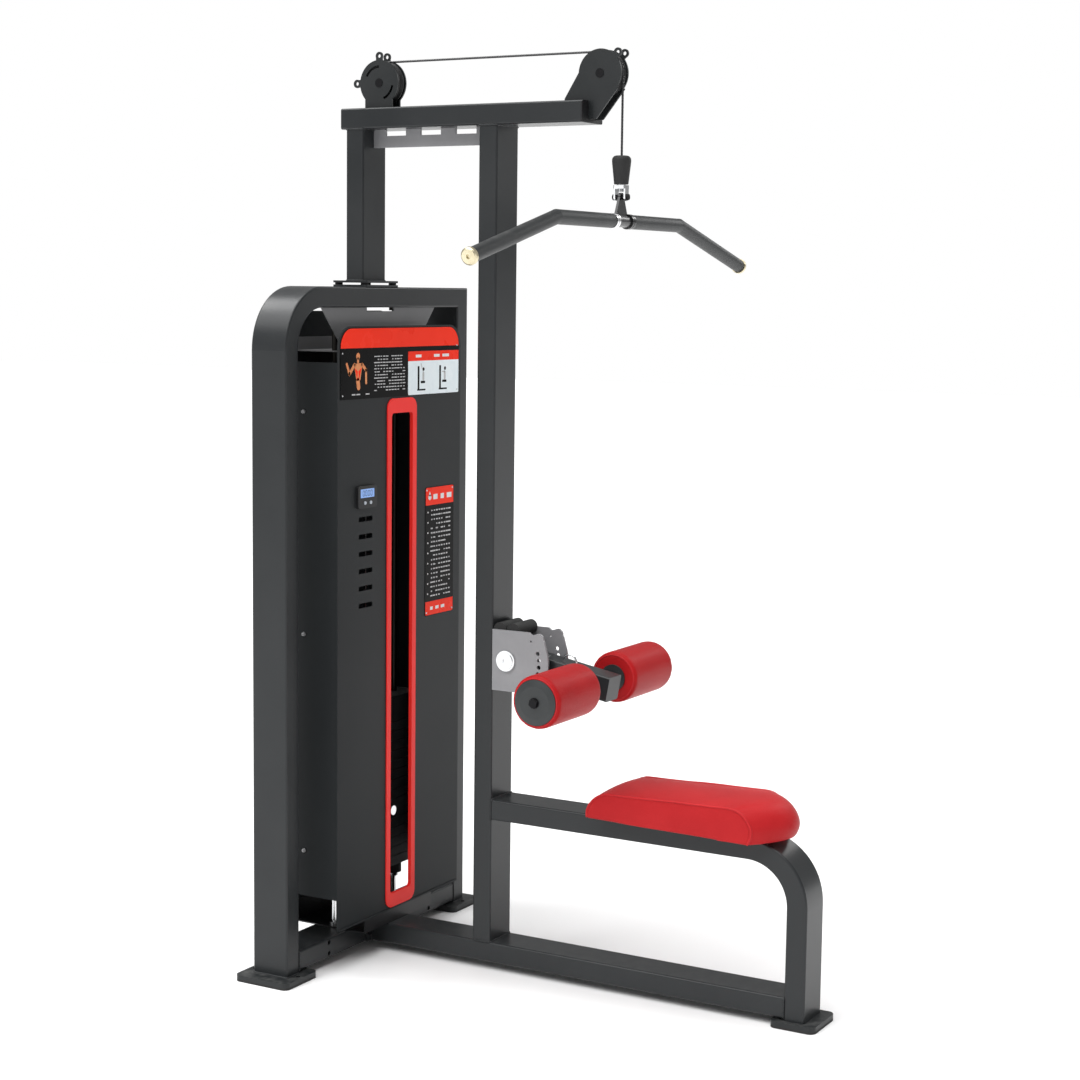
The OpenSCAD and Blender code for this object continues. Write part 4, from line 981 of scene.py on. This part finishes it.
def roller_profile(length, radius):
    """(x, r) from the inner end's middle to the outer end's middle."""
    steps = 8
    first = [(ROLLER_EDGE * (1 - math.cos(math.pi / 2 * i / steps)),
              radius - ROLLER_EDGE * (1 - math.sin(math.pi / 2 * i / steps)))
             for i in range(steps + 1)]
    second = [(length - x, r) for x, r in reversed(first)]
    return [(0, 0)] + first + second + [(length, 0)]


def lathed(name, profile, centre, direction, finish):
    """Turns (x, r) about the X axis through centre. Direction is 1 or -1 along X."""
    points, faces = [], []
    for x, r in profile:
        for k in range(ROLLER_SEGMENTS):
            a = 2 * math.pi * k / ROLLER_SEGMENTS
            points.append((centre.x + direction * x, centre.y + r * math.cos(a),
                           centre.z + r * math.sin(a)))
    for i in range(len(profile) - 1):
        for k in range(ROLLER_SEGMENTS):
            n = (k + 1) % ROLLER_SEGMENTS
            faces.append((i * ROLLER_SEGMENTS + k, (i + 1) * ROLLER_SEGMENTS + k,
                          (i + 1) * ROLLER_SEGMENTS + n, i * ROLLER_SEGMENTS + n))
    return tidy_normals(piece(name, points, faces=faces, finish=finish))


def circle_line(x, centre, radius, steps=96):
    return [Vector((x, centre.y + radius * math.cos(2 * math.pi * k / steps),
                    centre.z + radius * math.sin(2 * math.pi * k / steps)))
            for k in range(steps)]


for side, word in ((-1, "left"), (1, "right")):
    node = f"{word}_roller"
    low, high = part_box(node)
    radius = (high.z - low.z) / 2 - ROLLER_PLAY
    inner_x = low.x if side > 0 else high.x
    length = high.x - low.x
    hub = Vector((inner_x, (low.y + high.y) / 2, (low.z + high.z) / 2))
    sleeve = lathed(f"{node}_sleeve", roller_profile(length, radius), hub, side,
                    roller_vinyl)
    remeshed(sleeve)
    relaxed(sleeve, 2)

    def at_roller_end(co, hub=hub, length=length):
        from_inner = abs(co.x - hub.x)
        return from_inner < ROLLER_HELD or from_inner > length - ROLLER_HELD

    stuffed(sleeve, at_roller_end, cap=ROLLER_SWELL)
    smoothed(sleeve)
    settle(sleeve, node)
    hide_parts(node)

    rings = []
    for from_inner, out_by in ((WELT_IN, -1), (length - WELT_IN, 1)):
        ring_line = circle_line(hub.x + side * from_inner, hub, radius - WELT_DROP)
        rings.append(swept_line(f"ring{out_by}", ring_line, piping_vinyl, WELT_RADIUS,
                                step=4 * mm, closed=True))
    settle(joined(f"{node}_piping", rings), node)
    seam_length = length - 2 * SEAM_INSET
    under = Vector((0, math.sin(SEAM_ANGLE), -math.cos(SEAM_ANGLE))) * radius
    seam = [Vector((hub.x + side * (SEAM_INSET + seam_length * i / SEAM_STEPS), hub.y, hub.z))
            + under for i in range(SEAM_STEPS + 1)]
    row = piece("row", on_surface(sleeve, seam, 0.15 * mm),
                [(i, i + 1) for i in range(SEAM_STEPS)])
    settle(joined(f"{node}_stitches",
                  [grown(row, stitch_tree, Pitch=STITCH_PITCH, Length=STITCH_LENGTH,
                         Thickness=0.5 * mm, Finish=thread)]), node)

# %% [markdown]
# ## Printed labels
#
# The header above the window and the tall card beside it are printed films. Print has no
# thickness to speak of, but thin plates a few tenths of a millimetre high stay crisp at
# any distance and survive the export, so each colour is cut as one flat shape. Lines of
# text are stood in for by rows of short bars.

# %% Define the label tools
FILM = 0.15 * mm
FILM_SINK = 0.05 * mm
placard_low, placard_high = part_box("placards")
PLACARD_FACE = placard_low.y


def round_box(x0, x1, z0, z1, r=0.0, top_r=None, steps=8):
    """A rectangle's outline with rounded corners; top_r rounds the two upper ones."""
    top_r = r if top_r is None else top_r
    corners = [(x1, z0, r, -90), (x1, z1, top_r, 0), (x0, z1, top_r, 90), (x0, z0, r, 180)]
    made = []
    for x, z, radius, start in corners:
        if radius <= 0:
            made.append((x, z))
            continue
        cx = x - radius if x == x1 else x + radius
        cz = z - radius if z == z1 else z + radius
        made += [(cx + radius * math.cos(math.radians(start + 90 * i / steps)),
                  cz + radius * math.sin(math.radians(start + 90 * i / steps)))
                 for i in range(steps + 1)]
    return made


def disc(x, z, r, steps=20):
    return [(x + r * math.cos(2 * math.pi * i / steps),
             z + r * math.sin(2 * math.pi * i / steps)) for i in range(steps)]


def limb(ax, az, bx, bz, r, steps=6):
    """A thick line with round ends."""
    heading = math.atan2(bz - az, bx - ax)
    made = []
    for cx, cz, start in ((bx, bz, heading - math.pi / 2), (ax, az, heading + math.pi / 2)):
        made += [(cx + r * math.cos(start + math.pi * i / steps),
                  cz + r * math.sin(start + math.pi * i / steps)) for i in range(steps + 1)]
    return made


def print_on(name, outlines, layer, finish, face=PLACARD_FACE):
    """Cuts flat shapes in the XZ plane. Layer 1 lies on the card and 2 on layer 1."""
    front, rear = face - layer * FILM, face - (layer - 1) * FILM + FILM_SINK
    points, faces = [], []
    for line in outlines:
        base, n = len(points), len(line)
        points += [(x, front, z) for x, z in line] + [(x, rear, z) for x, z in line]
        faces += [tuple(base + i for i in range(n)),
                  tuple(base + n + i for i in reversed(range(n)))]
        faces += [(base + i, base + n + i, base + n + (i + 1) % n, base + (i + 1) % n)
                  for i in range(n)]
    made = piece(name, points, faces=faces, finish=finish, smooth=False)
    tidy_normals(made)
    return settle(made, "frame")


# %% [markdown]
# ### Rows of bars
#
# A block of small print is a grid of words of uneven length. The tree below lays a grid
# of points, sets a bar on each one and stretches it by a seeded random amount, so every
# block differs but never changes between runs.

# %% Build the small print tree
print_tree, given, out = new_tree("small print", [
    ("Width", "NodeSocketFloat", 0.1), ("Height", "NodeSocketFloat", 0.1),
    ("Words", "NodeSocketInt", 5), ("Rows", "NodeSocketInt", 8),
    ("Letter", "NodeSocketFloat", 0.004), ("Seed", "NodeSocketInt", 1),
    ("Finish", "NodeSocketMaterial", None)])
grid = put(print_tree, "GeometryNodeMeshGrid", Size_X=given.outputs["Width"],
           Size_Y=given.outputs["Height"], Vertices_X=given.outputs["Words"],
           Vertices_Y=given.outputs["Rows"])
pitch = calc(print_tree, "DIVIDE", given.outputs["Width"], given.outputs["Words"])
luck = put(print_tree, "FunctionNodeRandomValue", {"data_type": "FLOAT"},
           Seed=given.outputs["Seed"])
share = calc(print_tree, "MULTIPLY_ADD", luck.outputs[1], 0.7, 0.45)
word = put(print_tree, "ShaderNodeCombineXYZ", X=calc(print_tree, "MULTIPLY", pitch, share),
           Y=given.outputs["Letter"], Z=FILM)
bar = put(print_tree, "GeometryNodeMeshCube")
bar.inputs["Size"].default_value = (1, 1, 1)
keep = put(print_tree, "FunctionNodeRandomValue", {"data_type": "BOOLEAN"}, Probability=0.86,
           Seed=given.outputs["Seed"])
block = put(print_tree, "GeometryNodeInstanceOnPoints", Points=grid.outputs["Mesh"],
            Instance=bar.outputs["Mesh"], Scale=word.outputs["Vector"],
            Selection=keep.outputs[3])
real = put(print_tree, "GeometryNodeRealizeInstances", Geometry=block.outputs["Instances"])
inked = put(print_tree, "GeometryNodeSetMaterial", Geometry=real.outputs["Geometry"],
            Material=given.outputs["Finish"])
print_tree.links.new(inked.outputs["Geometry"], out.inputs["Geometry"])


def small_print(name, x0, x1, z0, z1, words, rows, letter, seed, layer, finish):
    """A block of bars between x0..x1 and z0..z1 on the placard's face."""
    start = piece(name, [(0, 0, 0)])
    made = grown(start, print_tree, Width=x1 - x0, Height=z1 - z0, Words=words, Rows=rows,
                 Letter=letter, Seed=seed, Finish=finish)
    stand = Matrix.Translation(((x0 + x1) / 2, PLACARD_FACE - (layer - 0.5) * FILM,
                                (z0 + z1) / 2)) @ Matrix.Rotation(math.pi / 2, 4, "X")
    made.data.transform(stand)
    return settle(made, "frame")


# %% Print the header
HEADER_HALF = placard_high.x
HEADER_TOP = placard_high.z
HEADER_FOOT = HEADER_TOP - 169 * mm
ARCH_FOOT = HEADER_TOP - 48 * mm
SPLIT_X = 27 * mm
BAND_TOP, BAND_FOOT = HEADER_TOP - 60 * mm, HEADER_TOP - 84 * mm
EDGE = 1.5 * mm

arch_shape = round_box(EDGE - HEADER_HALF, HEADER_HALF - EDGE, ARCH_FOOT, HEADER_TOP - EDGE,
                       0, top_r=45 * mm, steps=14)
band_shape = round_box(SPLIT_X, HEADER_HALF - EDGE, BAND_FOOT, BAND_TOP)
print_on("header_red", [arch_shape, band_shape], 1, ink_red)
print_on("header_pale", [round_box(SPLIT_X, HEADER_HALF - EDGE, HEADER_FOOT + EDGE,
                                   BAND_FOOT, 4 * mm, top_r=0)], 1, ink_pale)

# A plain exercise figure: one arm up, with the worked muscle picked out in red.
fx, fz = -190 * mm, HEADER_FOOT + 62 * mm
body = [(fx - 17 * mm, fz + 22 * mm), (fx + 19 * mm, fz + 24 * mm),
        (fx + 9 * mm, fz - 18 * mm), (fx - 7 * mm, fz - 18 * mm)]
print_on("header_figure", [
    body[::-1], disc(fx, fz + 40 * mm, 8 * mm),
    limb(fx, fz + 26 * mm, fx, fz + 34 * mm, 4 * mm),
    limb(fx - 15 * mm, fz + 20 * mm, fx - 36 * mm, fz - 2 * mm, 4.4 * mm),
    limb(fx - 36 * mm, fz - 2 * mm, fx - 47 * mm, fz + 22 * mm, 3.8 * mm),
    limb(fx + 17 * mm, fz + 20 * mm, fx + 33 * mm, fz + 6 * mm, 4.4 * mm),
    limb(fx + 33 * mm, fz + 6 * mm, fx + 34 * mm, fz - 24 * mm, 3.8 * mm),
    limb(fx - 1 * mm, fz - 18 * mm, fx + 2 * mm, fz - 34 * mm, 7 * mm)], 1, ink_tan)
print_on("header_muscle", [
    [(fx - 14 * mm, fz + 12 * mm), (fx - 1 * mm, fz + 4 * mm), (fx - 4 * mm, fz - 16 * mm)],
    [(fx + 15 * mm, fz + 13 * mm), (fx + 4 * mm, fz - 16 * mm), (fx + 1 * mm, fz + 4 * mm)],
], 2, ink_red)

# Two steps of the exercise: a post, a seat and a seated figure with its arms up, then down.
steps_dark, steps_blue = [], []
for px, hand in ((92 * mm, 24 * mm), (192 * mm, 2 * mm)):
    pz = HEADER_FOOT + 14 * mm
    steps_dark += [
        round_box(px - 22 * mm, px - 14 * mm, pz, pz + 58 * mm, 1.5 * mm),
        round_box(px - 24 * mm, px + 14 * mm, pz - 3 * mm, pz + 1 * mm, 1 * mm),
        round_box(px - 8 * mm, px + 12 * mm, pz + 15 * mm, pz + 21 * mm, 2 * mm),
        disc(px + 5 * mm, pz + 50 * mm, 4.5 * mm, 14)]
    steps_blue += [
        limb(px + 4 * mm, pz + 25 * mm, px + 4 * mm, pz + 40 * mm, 4.2 * mm),
        limb(px + 4 * mm, pz + 41 * mm, px - 7 * mm, pz + 40 * mm + hand, 1.6 * mm)]
print_on("header_steps", steps_dark, 2, ink_black)
print_on("header_sitters", steps_blue, 2, ink_grey)
small_print("header_text", -116 * mm, 8 * mm, HEADER_FOOT + 18 * mm, HEADER_FOOT + 100 * mm,
            11, 12, 2.4 * mm, 7, 1, ink_grey)
small_print("header_caption", -228 * mm, -150 * mm, HEADER_FOOT + 11 * mm,
            HEADER_FOOT + 11.1 * mm, 5, 1, 3 * mm, 3, 1, ink_grey)
small_print("band_text", 74 * mm, 200 * mm, BAND_FOOT + 12 * mm, BAND_FOOT + 12.1 * mm,
            4, 1, 7 * mm, 5, 2, ink_white)

# %% Print the side card
CARD_X0, CARD_X1 = 109.5 * mm, 242.5 * mm
CARD_Z0, CARD_Z1 = 829 * mm, 1157 * mm
TOP_BAND, FOOT_BAND = 46 * mm, 36 * mm
print_on("card_red", [
    round_box(CARD_X0 + EDGE, CARD_X1 - EDGE, CARD_Z1 - TOP_BAND, CARD_Z1 - EDGE, 0,
              top_r=5 * mm),
    round_box(CARD_X0 + EDGE, CARD_X1 - EDGE, CARD_Z0 + EDGE, CARD_Z0 + FOOT_BAND, 5 * mm,
              top_r=0)], 1, ink_red)
drop_z = CARD_Z1 - 26 * mm
print_on("card_mark", [
    disc(CARD_X0 + 20 * mm, drop_z, 7 * mm),
    [(CARD_X0 + 14 * mm, drop_z + 3 * mm), (CARD_X0 + 26 * mm, drop_z + 3 * mm),
     (CARD_X0 + 20 * mm, drop_z + 15 * mm)]], 2, ink_white)
BULLETS, BULLET_FOOT, BULLET_PITCH = 9, 56 * mm, 26 * mm
print_on("card_bullets", [
    disc(CARD_X0 + 12 * mm, CARD_Z0 + BULLET_FOOT + BULLET_PITCH * i, 2.2 * mm, 12)
    for i in range(BULLETS)], 1, ink_white)
small_print("card_heading", CARD_X0 + 46 * mm, CARD_X1 - 22 * mm, drop_z + 0.1 * mm,
            drop_z + 0.2 * mm, 3, 1, 13 * mm, 11, 2, ink_white)
small_print("card_text", CARD_X0 + 30 * mm, CARD_X1 - 20 * mm, CARD_Z0 + 50 * mm,
            CARD_Z0 + 268 * mm, 8, 20, 3.4 * mm, 13, 1, ink_grey)
small_print("card_foot_text", CARD_X0 + 30 * mm, CARD_X1 - 50 * mm, CARD_Z0 + 18 * mm,
            CARD_Z0 + 18.1 * mm, 3, 1, 8 * mm, 17, 2, ink_white)

# %% [markdown]
# ## The rep counter's screen
#
# The counter has a small lamp-blue screen in a shallow recess. Four plain seven-bar
# digits, all zero, sit on it the way a fresh counter shows them.

# %% Light the screen
counter_low, counter_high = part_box("counter_housing")
counter_x = (counter_low.x + counter_high.x) / 2
screen_z = (counter_low.z + counter_high.z) / 2 + 9 * mm
RECESS_FACE = counter_low.y + 1 * mm
SCREEN_HALF_WIDE, SCREEN_HALF_TALL, SCREEN_CORNER = 29 * mm, 10.5 * mm, 1.5 * mm
DIGITS, DIGIT_PITCH, DIGIT_GAP = 4, 11 * mm, 0.8 * mm
print_on("counter_screen", [
    round_box(counter_x - SCREEN_HALF_WIDE, counter_x + SCREEN_HALF_WIDE,
              screen_z - SCREEN_HALF_TALL, screen_z + SCREEN_HALF_TALL, SCREEN_CORNER)],
         2, screen_blue, RECESS_FACE)
digit_bars = []
for i in range(DIGITS):
    dx = counter_x + (i - (DIGITS - 1) / 2) * DIGIT_PITCH
    wide, tall, thick = 3.1 * mm, 6.2 * mm, 0.55 * mm
    for s in (-1, 1):
        digit_bars.append(limb(dx - wide + thick, screen_z + s * tall,
                               dx + wide - thick, screen_z + s * tall, thick, 4))
        for t in (-1, 1):
            digit_bars.append(limb(dx + s * wide, screen_z + t * DIGIT_GAP,
                                   dx + s * wide, screen_z + t * (tall - DIGIT_GAP),
                                   thick, 4))
print_on("counter_digits", digit_bars, 3, ink_black, RECESS_FACE)

# %% [markdown]
# ## Screws
#
# Small socket-head screws hold the shroud panels and the two labels. One
# Geometry Nodes tree turns a head with a socket and sets it on each point it is given,
# turned the way each row faces.

# %% Build the screw tree
screw_tree, given, out = new_tree("button screws", [
    ("Radius", "NodeSocketFloat", 0.004), ("Height", "NodeSocketFloat", 0.0015),
    ("Turn", "NodeSocketVector", None), ("Finish", "NodeSocketMaterial", None)])
head = put(screw_tree, "GeometryNodeMeshCone", {"fill_type": "NGON"}, Vertices=24,
           Side_Segments=1, Radius_Top=0.78, Radius_Bottom=1.0, Depth=1.0)
drive = put(screw_tree, "GeometryNodeMeshCylinder", {"fill_type": "NGON"}, Vertices=6,
            Radius=0.42, Depth=1.2)
drive_up = put(screw_tree, "GeometryNodeTransform", Geometry=drive.outputs["Mesh"],
               Translation=(0, 0, 1.0))
cut = put(screw_tree, "GeometryNodeMeshBoolean", {"operation": "DIFFERENCE",
                                                  "solver": "EXACT"})
screw_tree.links.new(head.outputs["Mesh"], cut.inputs["Mesh 1"])
screw_tree.links.new(drive_up.outputs["Geometry"], cut.inputs["Mesh 2"])
girth = put(screw_tree, "ShaderNodeCombineXYZ", X=given.outputs["Radius"],
            Y=given.outputs["Radius"], Z=given.outputs["Height"])
set_down = put(screw_tree, "GeometryNodeInstanceOnPoints",
               Points=given.outputs["Geometry"], Instance=cut.outputs["Mesh"],
               Rotation=given.outputs["Turn"], Scale=girth.outputs["Vector"])
loose = put(screw_tree, "GeometryNodeRealizeInstances",
            Geometry=set_down.outputs["Instances"])
plated = put(screw_tree, "GeometryNodeSetMaterial", Geometry=loose.outputs["Geometry"],
             Material=given.outputs["Finish"])
screw_tree.links.new(plated.outputs["Geometry"], out.inputs["Geometry"])


def screws(name, points, radius, height, finish, slot, turn=(math.pi / 2, 0, 0)):
    made = piece(name, points, smooth=False)
    grown(made, screw_tree, Radius=radius, Height=height, Turn=turn, Finish=finish)
    return settle(made, "frame")


# %% Drive the screws
INSET = 9 * mm
CARD_INSET_X, CARD_INSET_Z = 6 * mm, 8 * mm
screws("placard_screws", [
    (x, PLACARD_FACE, z) for x, z in (
        (INSET - HEADER_HALF, HEADER_FOOT + INSET), (HEADER_HALF - INSET, HEADER_FOOT + INSET),
        (INSET - HEADER_HALF, HEADER_TOP - 60 * mm), (HEADER_HALF - INSET, ARCH_FOOT),
        *((x, z) for z in (CARD_Z1 - CARD_INSET_Z, CARD_Z0 + CARD_INSET_Z)
          for x in (CARD_X0 + CARD_INSET_X, CARD_X1 - CARD_INSET_X)))],
    2.2 * mm, 1.2 * mm, turned_steel, "chrome")
shell_low, shell_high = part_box("front_shroud")
PANEL_SCREW_DEPTH = 101 * mm
PANEL_SCREW = (5.5 * mm, 3.4 * mm)  # head radius and height
PANEL_HEIGHTS = (1361 * mm, 827 * mm, 295 * mm)
REAR_HEIGHTS = (1500 * mm, 1040 * mm, 580 * mm, 130 * mm)
REAR_HALF = 235 * mm
for side, face, turn in (("left", shell_low.x, -math.pi / 2),
                         ("right", shell_high.x, math.pi / 2)):
    screws(f"{side}_panel_screws",
           [(face, shell_low.y + PANEL_SCREW_DEPTH, z) for z in PANEL_HEIGHTS],
           *PANEL_SCREW, turned_steel, "chrome", (0, turn, 0))

rear_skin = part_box("rear_shroud")[1].y
screws("rear_panel_screws",
       [(x, rear_skin, z) for z in REAR_HEIGHTS for x in (-REAR_HALF, REAR_HALF)],
       *PANEL_SCREW, turned_steel, "chrome", (-math.pi / 2, 0, 0))

# %% [markdown]
# ## Weld beads
#
# The frame is welded where one tube ends on another. A bead is a row of small overlapping
# ripples. The tree below follows a loop, and lays a small ball every couple of
# millimetres, which reads as a hand-laid fillet.

# %% Build the bead tree
bead_tree, given, out = new_tree("weld bead", [
    ("Radius", "NodeSocketFloat", 0.003), ("Step", "NodeSocketFloat", 0.0032),
    ("Finish", "NodeSocketMaterial", None)])
seam = put(bead_tree, "GeometryNodeMeshToCurve", Mesh=given.outputs["Geometry"])
spaced = put(bead_tree, "GeometryNodeResampleCurve", {"mode": "LENGTH"},
             Curve=seam.outputs["Curve"], Length=given.outputs["Step"])
ripple = put(bead_tree, "GeometryNodeMeshIcoSphere", Radius=1.0, Subdivisions=2)
wobble = put(bead_tree, "FunctionNodeRandomValue", {"data_type": "FLOAT"}, Seed=4)
size = calc(bead_tree, "MULTIPLY", given.outputs["Radius"],
            calc(bead_tree, "MULTIPLY_ADD", wobble.outputs[1], 0.18, 0.86))
laid = put(bead_tree, "GeometryNodeInstanceOnPoints", Points=spaced.outputs["Curve"],
           Instance=ripple.outputs["Mesh"], Scale=size)
fused = put(bead_tree, "GeometryNodeRealizeInstances", Geometry=laid.outputs["Instances"])
sprayed = put(bead_tree, "GeometryNodeSetMaterial", Geometry=fused.outputs["Geometry"],
              Material=given.outputs["Finish"])
rounded = put(bead_tree, "GeometryNodeSetShadeSmooth", Geometry=sprayed.outputs["Geometry"])
bead_tree.links.new(rounded.outputs["Geometry"], out.inputs["Geometry"])

TUBE_CORNER = 5 * mm
TUBE_WIDTH = 50 * mm
BEAD_RADIUS, BEAD_STEP = 2.6 * mm, 2.8 * mm


def loop_round(axis, at, low_a, high_a, low_b, high_b):
    """A rounded rectangle across an axis (0 X, 1 Y, 2 Z), as points of a closed loop."""
    flat = round_box(low_a, high_a, low_b, high_b, TUBE_CORNER, steps=4)
    order = {0: lambda a, b: (at, a, b), 1: lambda a, b: (a, at, b),
             2: lambda a, b: (a, b, at)}[axis]
    return [order(a, b) for a, b in flat]


# %% Lay the beads
post_low, post_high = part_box("main_post")
rear_low, rear_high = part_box("rear_post")
stay_low, stay_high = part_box("seat_frame")
beam_low, beam_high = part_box("base_beam")
cross_low, cross_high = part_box("cross_beam")
loops = [
    loop_round(2, post_low.z, post_low.x, post_high.x, post_low.y, post_high.y),
    loop_round(2, post_high.z, post_low.x, post_high.x, post_low.y, post_high.y),
    loop_round(2, rear_low.z, rear_low.x, rear_high.x, rear_low.y, rear_high.y),
    loop_round(2, rear_high.z, rear_low.x, rear_high.x, rear_low.y, rear_high.y),
    loop_round(1, beam_high.y, beam_low.x, beam_high.x, beam_low.z, beam_high.z),
    loop_round(1, beam_low.y, beam_low.x, beam_high.x, beam_low.z, beam_high.z),
    loop_round(0, cross_low.x, cross_low.y, cross_high.y, cross_low.z, cross_high.z),
    loop_round(0, cross_high.x, cross_low.y, cross_high.y, cross_low.z, cross_high.z),
    loop_round(1, stay_high.y, stay_low.x, stay_high.x, stay_high.z - TUBE_WIDTH,
               stay_high.z)]
for name in ("left_upright", "right_upright"):
    low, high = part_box(name)
    x0 = low.x if name == "left_upright" else high.x - TUBE_WIDTH
    loops.append(loop_round(2, low.z, x0, x0 + TUBE_WIDTH, low.y, high.y))
bead_points, bead_edges = [], []
for loop in loops:
    base, count = len(bead_points), len(loop)
    bead_points += loop
    bead_edges += [(base + i, base + (i + 1) % count) for i in range(count)]
beads = piece("weld_beads", bead_points, bead_edges)
grown(beads, bead_tree, Radius=BEAD_RADIUS, Step=BEAD_STEP, Finish=frame_paint)
settle(beads, "frame")

# %% Finish
low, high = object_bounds()
